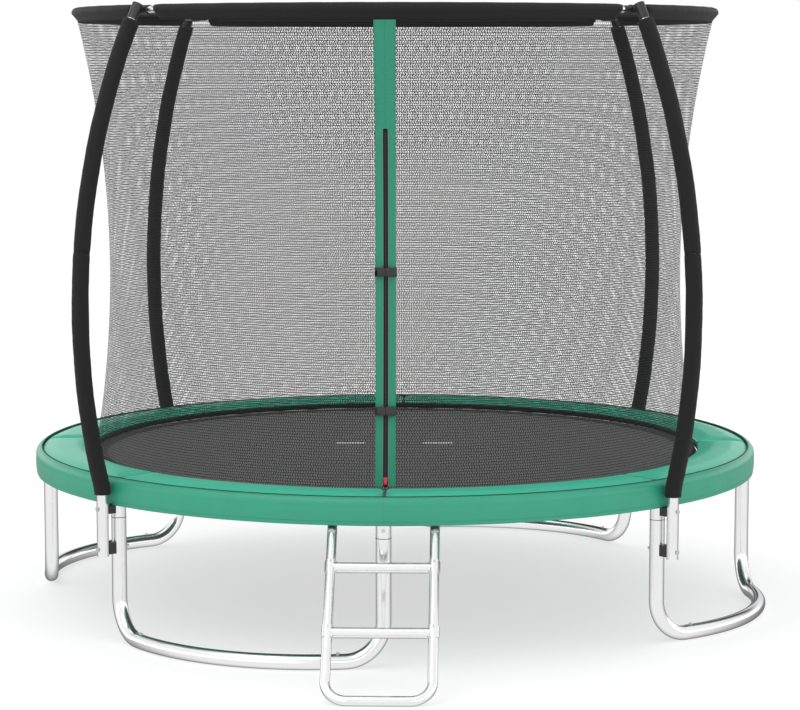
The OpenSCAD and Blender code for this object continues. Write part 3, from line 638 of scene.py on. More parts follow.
def make_materials():
    woven_group()
    mottle_group()
    stitch_group()
    tone = colours()
    made = {
        "steel": metal("Galvanised steel", tone.steel, 0.17, 260.0),
        "zinc": metal("Zinc-plated steel", tone.zinc, 0.32, 600.0),
        "mat": jump_cloth("Jumping cloth", tone.mat),
        "webbing": cloth("Black webbing", tone.webbing, 300.0, 700.0, 0.35, sheen=0.02),
        "hem": stitched_cloth("Mat webbing", tone.webbing, (0.03, 0.03, 0.03), 300.0, 300.0,
                              [0.008, 0.036]),
        # One vinyl in two colours: the top is painted lighter as painted light, the skirt darker as painted shade.
        "pad": vinyl("Pad vinyl painted lighter", tone.pad),
        "skirt": skirt_vinyl_painted_shade("Skirt vinyl painted darker", tone.skirt),
        "foam": cloth("Foam cover", tone.foam, 900.0, 900.0, 0.3, 0.8, 0.0002, 0.03),
        "sleeve": cloth("Hoop sleeve cloth", tone.sleeve, 800.0, 800.0, 0.3, 0.7, 0.0002, 0.03),
        "net": mesh_net("Knitted net", tone.net),
        "strip": stitched_cloth("Door webbing", tone.strip, tone.strip_thread, 420.0, 900.0,
                                [0.0025, 0.0215]),
        "strip_top": stitched_cloth("Door webbing top", tone.strip, tone.strip_thread, 420.0,
                                    900.0, [0.003, 0.031, 0.059]),
        "edge": cloth("Zip edge cord", tone.edge, 900.0, 900.0, 0.2),
        "plastic": moulded("Black plastic", tone.plastic, 0.42),
        "slider": moulded("Slider enamel", tone.slider, 0.25),
        "print": cloth("White print", tone.printed, 380.0, 380.0, 0.15, 0.6, 0.0001),
        # Dark cord colour: painted shade in the pad's seams and along its outer edge.
        "thread": cloth("Shade welt cord", tone.shade_welt, 900.0, 900.0, 0.3),
    }
    return made


def finish_of(key):
    return bpy.data.materials[MATERIAL_NAMES[key]]


MATERIAL_NAMES = {}


# ---- camera, floor and light ----

FLOOR = (0.43, 0.43, 0.43)
FLOOR_GLOW = 0.57
PANEL_GLOW = 1.7
CAMERA_PLACE = (0.2662, -9.1155, 1.8534)
CAMERA_DIP = math.radians(6.41)
CAMERA_TURN = math.radians(1.566)
CAMERA_LENS = 118.43


def make_camera():
    deselect()
    bpy.ops.object.camera_add(location=CAMERA_PLACE,
                              rotation=(math.pi / 2 - CAMERA_DIP, 0, CAMERA_TURN))
    camera = bpy.context.active_object
    camera.name = "camera"
    camera.data.lens = CAMERA_LENS
    camera.data.sensor_width = 36
    camera.data.clip_end = 100
    bpy.context.scene.camera = camera


def area_light(name, place, aim, width, height, power):
    deselect()
    turn = (Vector(aim) - Vector(place)).to_track_quat("-Z", "Y").to_euler()
    bpy.ops.object.light_add(type="AREA", location=place, rotation=turn)
    light = bpy.context.active_object
    light.name = name
    light.data.shape = "RECTANGLE"
    light.data.size, light.data.size_y = width, height
    light.data.energy = power


def make_floor():
    deselect()
    bpy.ops.mesh.primitive_plane_add(size=60)
    floor = named("floor")
    material, tree, shader = surface("Studio floor", FLOOR, 0.75,
                                     Specular_IOR_Level=0.15, Emission_Strength=FLOOR_GLOW,
                                     Emission_Color=(1.0, 1.0, 1.0, 1.0))
    tone = uneven(tree, here(tree), 0.8, 0.01)
    shaded(tree, shader, FLOOR, tone["Shade"])
    floor.data.materials.append(material)
    floor.visible_glossy = False


def make_world():
    """A white studio; metal sees a dark backdrop behind it, bright panels and a grey floor."""
    world = bpy.data.worlds.new("Studio")
    bpy.context.scene.world = world
    world.use_nodes = True
    tree = world.node_tree
    back = tree.nodes["Background"]
    direction = add(tree, "ShaderNodeTexCoord").outputs["Generated"]
    parts = split(tree, direction)
    behind = ramp(tree, parts[1], 0.3, 0.62)
    above = ramp(tree, parts[2], -0.06, 0.08)
    side = calc(tree, "ABSOLUTE", parts[0])
    middle = ramp(tree, side, 0.7, 0.35)
    back_drop = product(tree, behind, middle, above, 0.95)
    far = ramp(tree, parts[1], -0.3, 0.75)
    floor_side = calc(tree, "MULTIPLY", calc(tree, "SUBTRACT", 1.0, above),
                      calc(tree, "MULTIPLY_ADD", far, 0.48, 0.05))
    level = calc(tree, "MULTIPLY", calc(tree, "SUBTRACT", 1.0, back_drop),
                 calc(tree, "SUBTRACT", 1.0, floor_side))
    beside = ramp(tree, side, 0.06, 0.13)
    low = ramp(tree, parts[2], 0.42, 0.26)
    level = calc(tree, "MAXIMUM", level, product(tree, beside, low, above, PANEL_GLOW))
    path = add(tree, "ShaderNodeLightPath").outputs
    glossy = path["Is Glossy Ray"]
    sees = calc(tree, "ADD", calc(tree, "SUBTRACT", 1.0, glossy),
                calc(tree, "MULTIPLY", glossy, level))
    back.inputs["Color"].default_value = (1.0, 1.0, 1.0, 1.0)
    tree.links.new(calc(tree, "MULTIPLY", sees, sizes().sky), back.inputs["Strength"])
    bpy.context.scene.view_settings.view_transform = "Standard"


def make_lights():
    power = sizes().key_power
    area_light("key", (-2.2, -3.2, 5.2), (0, 0, 0.6), 4.0, 4.0, power)
    area_light("fill", (4.5, -4.0, 3.0), (0, 0, 0.9), 3.5, 3.5, power * 0.4)
    area_light("top", (0.0, 1.5, 6.0), (0, 0, 0.5), 6.0, 4.0, power * 0.7)


# ---- jumping mat ----

def make_mat():
    """The cloth disc, its folded webbing edge and printed dashes."""
    radius = MAT_R - 0.003

    def place(u, v):
        reach = max(v, 1e-4)
        return polar(radius * reach, u * TAU, MAT_TOP - 0.0003)

    mat = wrap("mat_cloth", 128, 16, place, (1, 1), closed=False)
    turn_outwards(mat, merge=True)
    face_towards(mat, 40, UP)
    modify(mat, "SOLIDIFY", thickness=0.0016, offset=-1)
    smooth(mat, 50)
    finish_piece(mat, finish_of("mat"), "mat", ["jump_mat"])

    inner, outer, top, low = MAT_R - HEM_W, MAT_R + 0.0042, HEM_TOP, HEM_LOW
    profile = [(inner, MAT_TOP), (inner, top - 0.0004), (inner + 0.0008, top),
               (outer - 0.012, top), (outer - 0.002, top - 0.0005), (outer, top - 0.0025),
               (outer, low + 0.0025), (outer - 0.002, low + 0.0005), (inner + 0.0008, low),
               (inner, low + 0.0004), (inner, MAT_LOW - 0.0002), (MAT_R - 0.006, MAT_LOW),
               (MAT_R - 0.006, MAT_TOP - 0.0001)]
    hem = round_ring("mat_webbing", profile)
    for corner in hem.data.uv_layers[0].data:
        corner.uv = (corner.uv[1], corner.uv[0])
    finish_piece(hem, finish_of("hem"), "mat", ["mat_hem"])

    dashes = []
    for middle in (-0.158, 0.1502):
        low_corner = (middle - 0.052, 0.104, MAT_TOP + 0.0001)
        high_corner = (middle + 0.052, 0.130, MAT_TOP + 0.0004)
        dash = rounded_box("dash", low_corner, high_corner, 0.0001, 1)
        dashes.append(moved(dash, Matrix.Rotation(0.028, 4, "Z")))
    prints = joined("mat_printed_dashes", dashes)
    finish_piece(prints, finish_of("print"), "mat")


def ring_outline():
    """The closed path of one wire ring, at azimuth 0."""
    half, inner = 0.016, MAT_R + 0.0022
    corners = [Vector((inner, -half, 0)), Vector((RING_TIP - 0.002, 0, 0)),
               Vector((inner, half, 0))]
    points = []
    for i, corner in enumerate(corners):
        before, after = corners[i - 1], corners[(i + 1) % 3]
        start = corner + (before - corner).normalized() * 0.004
        end = corner + (after - corner).normalized() * 0.004
        for t in (0.0, 0.33, 0.67, 1.0):
            points.append(start.lerp(corner, t).lerp(corner.lerp(end, t), t))
    return points


def make_rings():
    """One V-shaped wire ring for each spring, held by the mat's webbing."""
    height = (MAT_TOP + MAT_LOW) / 2
    first = wire("ring", [p + Vector((0, 0, height)) for p in ring_outline()], 0.0019, 6, True)
    piece = joined("mat_wire_rings", [turned_copy(first, "ring", a) for a in SPRING_ANGLES])
    finish_piece(piece, finish_of("zinc"), "mat", ["v_rings"])
    bpy.data.objects.remove(first)


def make_springs():
    """Coil springs in small groups; each stretches between the mat and the frame."""
    turns, steps = 20, 9
    start = Vector((RING_TIP + 0.0004, 0, (MAT_TOP + MAT_LOW) / 2))
    end = Vector((FRAME_R - RAIL_R + 0.001, 0, FRAME_H + 0.006))
    along = (end - start).normalized()
    length = (end - start).length
    across = Vector((0, 1, 0))
    up = across.cross(along) * -1
    coil = SPRING_R - 0.0015
    hook = 0.015
    points = [start, start + along * hook * 0.6]
    for i in range(turns * steps + 1):
        share = i / (turns * steps)
        angle = share * turns * TAU
        swell = min(1.0, share * 12, (1 - share) * 12)
        run = hook + (length - 2 * hook) * share
        points.append(start + along * run + across * (coil * swell * math.cos(angle))
                      + up * (coil * swell * math.sin(angle)))
    points += [end - along * hook * 0.4, end + along * 0.004]
    first = wire("spring", points, 0.0014, 5)
    for group in range(len(SPRING_ANGLES) // 3):
        chosen = SPRING_ANGLES[group * 3:group * 3 + 3]
        piece = joined(f"springs_{group + 1}", [turned_copy(first, "spring", a) for a in chosen])
        finish_piece(piece, finish_of("zinc"), None, ["springs"] if group == 0 else [])
        middle = chosen[1]
        polar(RING_TIP, middle, start.z)
        polar(FRAME_R - RAIL_R, middle, start.z)
        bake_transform(piece)
    bpy.data.objects.remove(first)


# ---- spring pad ----

def puff(obj, cap, held):
    """Swells a closed shell with cloth pressure; held points stay, none moves past cap."""
    before = [vertex.co.copy() for vertex in obj.data.vertices]
    group = obj.vertex_groups.new(name="seam")
    group.add([i for i, co in enumerate(before) if held(co)], 1.0, "REPLACE")
    select_only(obj)
    bpy.ops.object.modifier_add(type="CLOTH")
    modifier = obj.modifiers[-1]
    settings = modifier.settings
    settings.quality = 6
    settings.use_pressure = True
    settings.uniform_pressure_force = 4
    settings.effector_weights.gravity = 0
    settings.vertex_group_mass = "seam"
    modifier.point_cache.frame_start, modifier.point_cache.frame_end = 1, 20
    scene = bpy.context.scene
    for number in range(1, 21):
        scene.frame_set(number)
    bpy.ops.object.modifier_apply(modifier=modifier.name)
    scene.frame_set(1)
    for vertex, start in zip(obj.data.vertices, before):
        step = vertex.co - start
        if step.length > cap:
            vertex.co = start + step * (cap / step.length)
    obj.vertex_groups.clear()


def make_pad():
    """Eight padded panels, sewn together at the posts, over one backing sheet."""
    inner, outer = PAD_IN + 0.002, PAD_OUT - 0.001
    gap = 0.0006 / outer
    first, last = gap, STEP - gap
    low = PAD_LOW + 0.004
    thick = 0.0095
    crown = sizes().pad_crown

    def rim(co):
        radius, angle = math.hypot(co.x, co.y), math.atan2(co.y, co.x)
        edge = min(radius - inner, outer - radius)
        side = min(angle - first, last - angle) * radius
        return edge, side

    def place(u, v):
        return polar(inner + (outer - inner) * v, first + (last - first) * u, low)

    panel = wrap("pad_panel_1", 100, 22, place, (0.89, 0.17), closed=False)
    face_towards(panel, 0, UP)
    modify(panel, "SOLIDIFY", thickness=thick, offset=1)
    for vertex in panel.data.vertices:
        edge, side = rim(vertex.co)
        near = min(max(min(edge / 0.030, side / 0.022), 0.0), 1.0)
        rise = math.sqrt(max(0.0, 1 - (1 - near) ** 2))
        if vertex.co.z > low + thick / 2:
            vertex.co.z = PAD_TOP - 0.008 + rise * (0.006 + crown * 0.5)
        else:
            vertex.co.z = PAD_LOW + 0.001 + (1 - rise) * 0.004
    puff(panel, crown, lambda co: min(rim(co)) < 0.004)
    for vertex in panel.data.vertices:
        vertex.co.z = max(vertex.co.z, PAD_LOW + 0.0005)
    modify(panel, "SUBSURF", levels=1, render_levels=1)
    smooth(panel)
    panels = [panel] + [turned_copy(panel, f"pad_panel_{k + 1}", STEP * k)
                        for k in range(1, POSTS)]
    for k, piece in enumerate(panels):
        finish_piece(piece, finish_of("pad"), "frame", ["spring_pad"] if k == 0 else [])

    backing = round_ring("pad_backing", [(inner, PAD_LOW + 0.001), (outer, PAD_LOW + 0.001),
                                         (outer, PAD_LOW + 0.0035), (inner, PAD_LOW + 0.0035)], 192)
    smooth(backing, 40)
    finish_piece(backing, finish_of("skirt"), "frame")

    lip = round_ring("pad_inner_lip", [(PAD_IN + 0.0003, PAD_LOW + 0.003),
                                       (PAD_IN + 0.0003, HEM_TOP - 0.0002),
                                       (PAD_IN + 0.0018, HEM_TOP - 0.0002),
                                       (PAD_IN + 0.0024, PAD_LOW + 0.003)], 256)
    smooth(lip, 40)
    finish_piece(lip, finish_of("skirt"), "frame")

    # Painted shade: a dark welt along the outer edge, the pad's piping drawn dark for the crease's shade, and a
    # dark cord in each seam's groove in place of the groove's shade.
    deselect()
    bpy.ops.mesh.primitive_torus_add(major_radius=PAD_OUT - 0.0002, minor_radius=0.0017,
                                     major_segments=256, minor_segments=8,
                                     location=(0, 0, PAD_TOP + 0.0004))
    shade_welt = named("pad_welt")
    smooth(shade_welt)
    cords = [shade_welt]
    for k in range(POSTS):
        points = [polar(inner + (outer - inner) * t, STEP * k,
                        PAD_TOP - 0.0042 - 0.004 * (2 * t - 1) ** 6) for t in
                  [i / 14 for i in range(15)]]
        cords.append(wire("seam", points, 0.0029, 8))
    seams = joined("pad_seam_cords", cords)
    finish_piece(seams, finish_of("thread"), "frame")


def make_skirt():
    """The valance: it turns over the frame and hangs to a stitched hem."""
    edge = 0.022
    corner = (SKIRT_R - edge, PAD_TOP - edge)
    outer = []
    for i in range(9):
        turn = math.pi / 2 * (1 - i / 8)
        outer.append((corner[0] + edge * math.cos(turn), corner[1] + edge * math.sin(turn)))
    fall = corner[1] - SKIRT_LOW
    for i in range(1, 13):
        share = i / 12
        belly = 0.0022 * math.sin(share * math.pi * 0.9)
        outer.append((SKIRT_R - 0.0008 + belly - 0.0025 * share ** 2, corner[1] - fall * share))
    outer.append((outer[-1][0] - 0.001, SKIRT_LOW - 0.0006))
    inner = [(radius - 0.0028, z) for radius, z in reversed(outer[3:])]
    inner += [(SKIRT_R - edge + 0.003, PAD_TOP - 0.0035)]
    profile = outer + inner

    def wave(angle, z):
        fall_share = min(max((PAD_TOP - 0.02 - z) / 0.07, 0.0), 1.0)
        folds = math.sin(angle * 31 + 1.2) * 0.5 + math.sin(angle * 53 + 0.4) * 0.3
        pull = math.exp(-((math.remainder(angle, STEP) * SKIRT_R / 0.02) ** 2))
        return fall_share * (folds * 0.0009 - pull * 0.0016)

    skirt = round_ring("pad_valance", profile, 640, wave)
    finish_piece(skirt, finish_of("skirt"), "frame", ["pad_skirt"])


# ---- foam on the poles ----

def pole_path():
    """Radius, height and lean of a pole's middle line, from its small bend to its tip."""
    lean = POLE_LEAN
    bend_top = Vector((POLE_AXIS_R + POLE_BEND_R * (1 - math.cos(lean)),
                       POLE_STRAIGHT + POLE_BEND_R * math.sin(lean)))
    tip = Vector((HOOP_R + 0.036, HOOP_H))
    bow = tip - bend_top
    inward = Vector((-math.cos(lean), math.sin(lean)))
    bow_r = bow.length_squared / (2 * bow.dot(inward))
    centre = bend_top + bow_r * inward
    return bend_top, tip, bow_r, centre


def pole_points(low, high, bend):
    """Evenly spaced (radius, height, lean) along a pole between two turns of its long bow."""
    bend_top, tip, bow_r, centre = pole_path()
    points = []
    if bend:
        for i in range(6):
            turn = POLE_LEAN * i / 6
            points.append((POLE_AXIS_R + POLE_BEND_R * (1 - math.cos(turn)),
                           POLE_STRAIGHT + POLE_BEND_R * math.sin(turn), turn))
    count = 56
    for i in range(count + 1):
        turn = low + (high - low) * i / count
        points.append((centre[0] + bow_r * math.cos(turn),
                       centre[1] + bow_r * math.sin(turn), -turn))
    return points


def foam_tube(name, points, azimuth):
    """A thick foam tube along the pole, with gathered ends."""
    last = len(points) - 1
    bore = POLE_R + 0.0007

    def radius_at(index):
        end = min(index, last - index)
        if end == 0:
            return FOAM_R - 0.0012
        return FOAM_R + 0.0004 * math.sin(index * 1.9) * math.sin(index * 0.7 + azimuth)

    rings = [(i, radius_at(i)) for i in range(last + 1)]
    rings += [(i, bore) for i in (last, last // 2, 0)]
    count = len(rings)
    outward = Vector((math.cos(azimuth), math.sin(azimuth), 0))
    sideways = Vector((-math.sin(azimuth), math.cos(azimuth), 0))

    def place(u, v):
        index, size = rings[round(v * count) % count]
        radius, z, lean = points[index]
        normal = outward * math.cos(lean) - Vector((0, 0, 1)) * math.sin(lean)
        middle = outward * radius + Vector((0, 0, z))
        angle = u * TAU
        if size > bore:
            size += 0.0004 * math.sin(3 * angle + index * 0.35)
        return middle + normal * (size * math.cos(angle)) + sideways * (size * math.sin(angle))

    return wrap(name, 40, count, place, (TAU * FOAM_R, 1.6))


def make_foam():
    """Two foam sleeves on each pole, below and above the pole's joint."""
    bend_top, tip, bow_r, centre = pole_path()
    joint = math.asin((POLE_JOINT - centre[1]) / bow_r)
    top = math.asin((tip[1] - centre[1]) / bow_r) - (0.036 + 0.003) / bow_r
    half_gap = 0.0001 / bow_r
    for k, azimuth in enumerate(POLE_ANGLES):
        lower = foam_tube(f"foam_low_{k + 1}", pole_points(-POLE_LEAN, joint - half_gap, True),
                          azimuth)
        upper = foam_tube(f"foam_high_{k + 1}", pole_points(joint + half_gap, top, False),
                          azimuth)
        for piece, node in ((lower, "foam_lower"), (upper, "foam_upper")):
            finish_piece(piece, finish_of("foam"), "frame", [node])


# ---- hoop sleeves ----

def sleeve_outline(count):
    """Teardrop about the hoop: round above, drawn in to the net's seam below."""
    points = []
    drop = HOOP_H - SLEEVE_LOW
    for i in range(count):
        angle = TAU * i / count + math.pi / 2
        size = 0.0172
        radius, z = size * math.cos(angle), size * math.sin(angle)
        down = max(0.0, -math.sin(angle) - 0.25) / 0.75
        points.append((radius * (1 - 0.88 * down ** 1.3) - 0.005 * down,
                       z - (drop - size) * down ** 1.6))
    return points


def make_hoop_sleeves():
    """Four padded pockets of cloth around the hoop, cut back at each pole."""
    outline = sleeve_outline(28)
    bore = HOOP_TUBE_R + 0.0004
    for k, azimuth in enumerate(POLE_ANGLES):
        start, end = azimuth + HOOP_BARE, azimuth + math.pi / 2 - HOOP_BARE
        count = 90
        rings = [("out", i) for i in range(count + 1)] + [("in", i) for i in (count, 45, 0)]
        total = len(rings)

        def place(u, v):
            side, index = rings[round(v * total) % total]
            out_r, out_z = outline[round(u * 28) % 28]
            angle = start + (end - start) * index / count
            edge = min(index, count - index)
            slant = 0.010 / HOOP_R * (1 - out_z / 0.02) * 0.5 * max(0.0, 1 - edge / 2)
            angle += slant if index < count / 2 else -slant
            if side == "in":
                turn = TAU * round(u * 28) / 28 + math.pi / 2
                return polar(HOOP_R + bore * math.cos(turn), angle,
                             HOOP_H + bore * math.sin(turn))
            pucker = 0.0005 * math.sin(index * 2.1 + u * 9) + 0.0005 * math.sin(index * 0.83)
            size = 0.93 if edge == 0 else 1.0
            lift = pucker if out_z > -0.02 else 0
            return polar(HOOP_R + out_r * size + lift, angle, HOOP_H + out_z * size + lift * 0.4)

        sleeve = wrap(f"hoop_sleeve_{k + 1}", 28, total, place, (0.12, 1.7))
        finish_piece(sleeve, finish_of("sleeve"), "frame",
                     ["hoop_sleeves"] if k == 0 else [])


# ---- net and door ----

def net_point(angle, z, out=0.0):
    """A point on the net's curve, moved out along its normal."""
    rise = z - NET_C[1]
    radius = NET_C[0] - math.sqrt(NET_R ** 2 - rise ** 2)
    return polar(radius + out * (NET_C[0] - radius) / NET_R, angle, z - out * rise / NET_R)


def follow_mat(piece):
    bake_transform(piece)


def make_net():
    """The knitted net, one continuous sheet, with a bound lower edge."""
    low, high = NET_LOW + 0.0005, NET_HIGH + 0.004

    def place(u, v):
        return net_point(u * TAU - math.pi / 2, low + (high - low) * v, 0.0008)

    width, length = TAU * 1.01, high - low
    net = wrap("net_cloth", 256, 72, place, (width, length), closed=False)
    turn_outwards(net, merge=True)
    face_outwards(net)
    finish_piece(net, finish_of("net"), None, ["net"])
    follow_mat(net)

    z0, z1, thick = NET_LOW + 0.0005, NET_LOW + 0.016, 0.0012
    profile = [(math.hypot(*net_point(0, z, out).xy), net_point(0, z, out).z)
               for z, out in ((z0, 0.0), (z1, 0.0), (z1, thick), ((z0 + z1) / 2, thick * 1.2),
                              (z0, thick))]
    binding = round_ring("net_foot_binding", profile, 224)
    finish_piece(binding, finish_of("webbing"))
    follow_mat(binding)


def ribbon(name, x0, x1, z0, z1, out, thick, rows=96, columns=4):
    """A flat band on the front of the net; x is measured at the net's waist."""
    def place(u, v):
        angle = (x0 + (x1 - x0) * u) / NET_WAIST - math.pi / 2
        return net_point(angle, z0 + (z1 - z0) * v, out)

    band = wrap(name, columns, rows, place, (abs(x1 - x0), z1 - z0), closed=False)
    face_outwards(band)
    modify(band, "SOLIDIFY", thickness=thick, offset=1)
    smooth(band, 40)
    return band


def make_door():
    """Two strips of webbing edge the zip and meet in one strip above it."""
    thick = 0.0015
    parts = (("door_strip_left", -DOOR_HALF, -ZIP_HALF, ZIP_LOW, ZIP_TOP, "strip"),
             ("door_strip_right", ZIP_HALF, DOOR_HALF, ZIP_LOW, ZIP_TOP, "strip"),
             ("door_strip_top", -DOOR_HALF, DOOR_HALF, ZIP_TOP, STRIP_TOP, "strip_top"))
    for i, (name, x0, x1, z0, z1, key) in enumerate(parts):
        strip = ribbon(name, x0, x1, z0, z1, STRIP_OUT, thick, 120 if i < 2 else 40, 6)
        finish_piece(strip, finish_of(key), None, ["door_strips"] if i == 0 else [])
        follow_mat(strip)

    tape = ribbon("zip_cloth", -ZIP_HALF, ZIP_HALF, ZIP_LOW, ZIP_TOP - 0.0003, STRIP_OUT, 0.0008)
    finish_piece(tape, finish_of("webbing"), None, ["zip_tape"])
    follow_mat(tape)
    for side in (-1, 1):
        x = side * (ZIP_HALF + 0.0006)
        edge = ribbon("zip_edge_left" if side < 0 else "zip_edge_right", x - 0.0007, x + 0.0007,
                      ZIP_LOW, ZIP_TOP, STRIP_OUT + 0.0009, 0.0009, 96, 1)
        finish_piece(edge, finish_of("edge"))
        follow_mat(edge)
    make_teeth()


def make_teeth():
    """The zip's chain: a row of small teeth down the middle of the tape."""
    pitch = 0.005
    deselect()
    bpy.ops.mesh.primitive_cube_add(size=1, scale=(0.0052, 0.0011, 0.0032))
    tooth = named("zip_teeth")
    count = int((ZIP_TOP - ZIP_LOW - 0.01) / pitch)
    modify(tooth, "ARRAY", fit_type="FIXED_COUNT", count=count, use_relative_offset=False,
           use_constant_offset=True, constant_offset_displace=(0, 0, pitch))
    for vertex in tooth.data.vertices:
        x, y, z = vertex.co
        row = round(z / pitch)
        shift = 0.0006 if row % 2 else -0.0006
        out = STRIP_OUT + 0.0009 + (0.00055 - y)
        vertex.co = net_point((x + shift) / NET_WAIST - math.pi / 2, ZIP_LOW + 0.005 + z, out)
    turn_outwards(tooth)
    finish_piece(tooth, finish_of("plastic"))
    follow_mat(tooth)


def front_matrix(z):
    """Places a small piece on the door: x to the right, y away from the net, z along it."""
    rise = z - NET_C[1]
    lean = math.asin(rise / NET_R)
    place = net_point(-math.pi / 2, z, STRIP_OUT + 0.002)
    turn = Matrix.Rotation(lean, 4, "X") @ Matrix.Rotation(math.pi, 4, "Z")
    return Matrix.Translation(place) @ turn


def make_slider():
    """The zip's slider with its bridge, pull tab and cord."""
    low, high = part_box("zip_slider")
    matrix = front_matrix((low.z + high.z) / 2)
    body = rounded_box("slider_body", (-0.0065, 0.0003, -0.012), (0.0065, 0.0031, 0.012), 0.0012)
    for vertex in body.data.vertices:
        if vertex.co.z < -0.004:
            vertex.co.x *= 0.78
    bridge = rounded_box("slider_bridge", (-0.0016, 0.0028, -0.008), (0.0016, 0.0042, 0.008),
                         0.0005)
    tab = rounded_box("slider_tab", (-0.0032, 0.0038, -0.011), (0.0032, 0.0050, 0.009), 0.0005)
    for vertex in tab.data.vertices:
        if vertex.co.z > 0.003:
            vertex.co.x *= 0.7
    slider = joined("zip_pull", [body, bridge, tab])
    moved(slider, matrix)
    finish_piece(slider, finish_of("slider"), "zip_slider", ["zip_slider"])
    points = [Vector((0.001 * i, 0.0046 + 0.0003 * math.sin(i), -0.010 - 0.0025 * i))
              for i in range(6)]
    cord = wire("zip_pull_cord", points, 0.0009, 6)
    moved(cord, matrix)
    finish_piece(cord, finish_of("webbing"), "zip_slider")


def make_buckles():
    """Two side-release buckles: a socket, its plug with two prongs, and folded webbing."""
    low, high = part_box("buckle_sockets")
    half = 0.014
    heights = (low.z + half, high.z - half)
    off, thick = 0.0062, 0.009
    sockets, straps = [], []
    for k, z in enumerate(heights):
        matrix = front_matrix(z)
        back = rounded_box("back", (0.0, off, -half), (0.034, off + 0.0026, half), 0.0010)
        face = rounded_box("face", (0.0, off + 0.0062, -half + 0.003),
                           (0.034, off + thick, half - 0.003), 0.0012)
        rails = [rounded_box("rail", (0.001, off + 0.002, side * (half - 0.0022) - 0.0020),
                             (0.034, off + thick - 0.0008, side * (half - 0.0022) + 0.0020),
                             0.0008) for side in (-1, 1)]
        end = rounded_box("end", (0.025, off + 0.0005, -half), (0.034, off + thick, half), 0.0012)
        sockets += [moved(part, matrix) for part in [back, face, end] + rails]

        head = rounded_box("head", (-0.034, off, -half), (-0.0004, off + thick, half), 0.0022)
        for vertex in head.data.vertices:
            if -0.020 < vertex.co.x < -0.010:
                vertex.co.z *= 0.86
        bar = rounded_box("bar", (-0.029, off + thick - 0.001, -half * 0.7),
                          (-0.014, off + thick + 0.0006, half * 0.7), 0.0006)
        guide = rounded_box("guide", (-0.002, off + 0.0028, -0.003), (0.020, off + 0.0060, 0.003),
                            0.0008)
        prongs = [rounded_box("prong", (-0.002, off + 0.0028, side * 0.0075 - 0.0017),
                              (0.019, off + 0.0060, side * 0.0075 + 0.0017), 0.0008)
                  for side in (-1, 1)]
        plug = joined("buckle_plug_" + ("lower", "upper")[k], [head, bar, guide] + prongs)
        moved(plug, matrix)
        body = ("buckle_plug_low", "buckle_plug_high")[k]
        finish_piece(plug, finish_of("plastic"), body, [body])

        for x0, x1 in ((-0.034, -0.0098), (0.0098, 0.034)):
            strap = rounded_box("strap", (x0, 0.0003, -0.0110), (x1, off - 0.0003, 0.0110), 0.0014)
            straps.append(moved(strap, matrix))
    socket = joined("buckle_shells", sockets)
    finish_piece(socket, finish_of("plastic"), "frame", ["buckle_sockets"])
    strap = joined("buckle_webbing", straps)
    finish_piece(strap, finish_of("webbing"), "frame", ["buckle_straps"])


# ---- finishes of the metal and plastic ----

def make_joint_lines():
    """The dark line where each upright enters the socket of its frame tube."""
    lines = []
    for post in range(POSTS):
        bpy.ops.mesh.primitive_torus_add(major_radius=LEG_R - 0.0003, minor_radius=0.0012,
                                         major_segments=48, minor_segments=8,
                                         location=polar(FRAME_R, STEP * post, SOCKET_END))
        lines.append(named("socket_line"))
    line = joined("socket_lines", lines)
    smooth(line)
    finish_piece(line, finish_of("plastic"), "frame")


def finish_metal():
    """Gives the carried-over frame, leg, pole, hoop and ladder nodes their finish."""
    by_slot = {"steel": "steel", "screw": "zinc", "plastic": "plastic"}
    slots = {part["node"]: part["material_slot"] for part in frame["record"]["subparts"]}
    for name, obj in frame["nodes"].items():
        key = by_slot.get(slots[name])
        if key is None:
            continue
        for slot in obj.material_slots:
            slot.material = finish_of(key)


# ---- settings, operators and panel ----

class TrampolineSizes(bpy.types.PropertyGroup):
    pad_crown: FloatProperty(name="Pad crown", description="How far the pad's cloth swells",
                             default=0.006, min=0.002, max=0.010, unit="LENGTH")
    net_row: FloatProperty(name="Net row", description="Distance between the net's cross threads",
                           default=0.0086, min=0.004, max=0.02, unit="LENGTH")
    net_column: FloatProperty(name="Net column", description="Distance between upright threads",
                              default=0.008, min=0.004, max=0.02, unit="LENGTH")
    net_thread: FloatProperty(name="Net thread", description="Width of the net's threads",
                              default=0.0024, min=0.0004, max=0.003, unit="LENGTH")
    key_power: FloatProperty(name="Key light", description="Power of the key light",
                             default=70.0, min=10.0, max=2000.0, unit="POWER")
    sky: FloatProperty(name="Sky", description="Strength of the studio's white surround",
                       default=1.0, min=0.0, max=3.0)


def colour(name, description, value):
    return FloatVectorProperty(name=name, description=description, default=value, size=3,
                               min=0.0, max=1.0, subtype="COLOR")


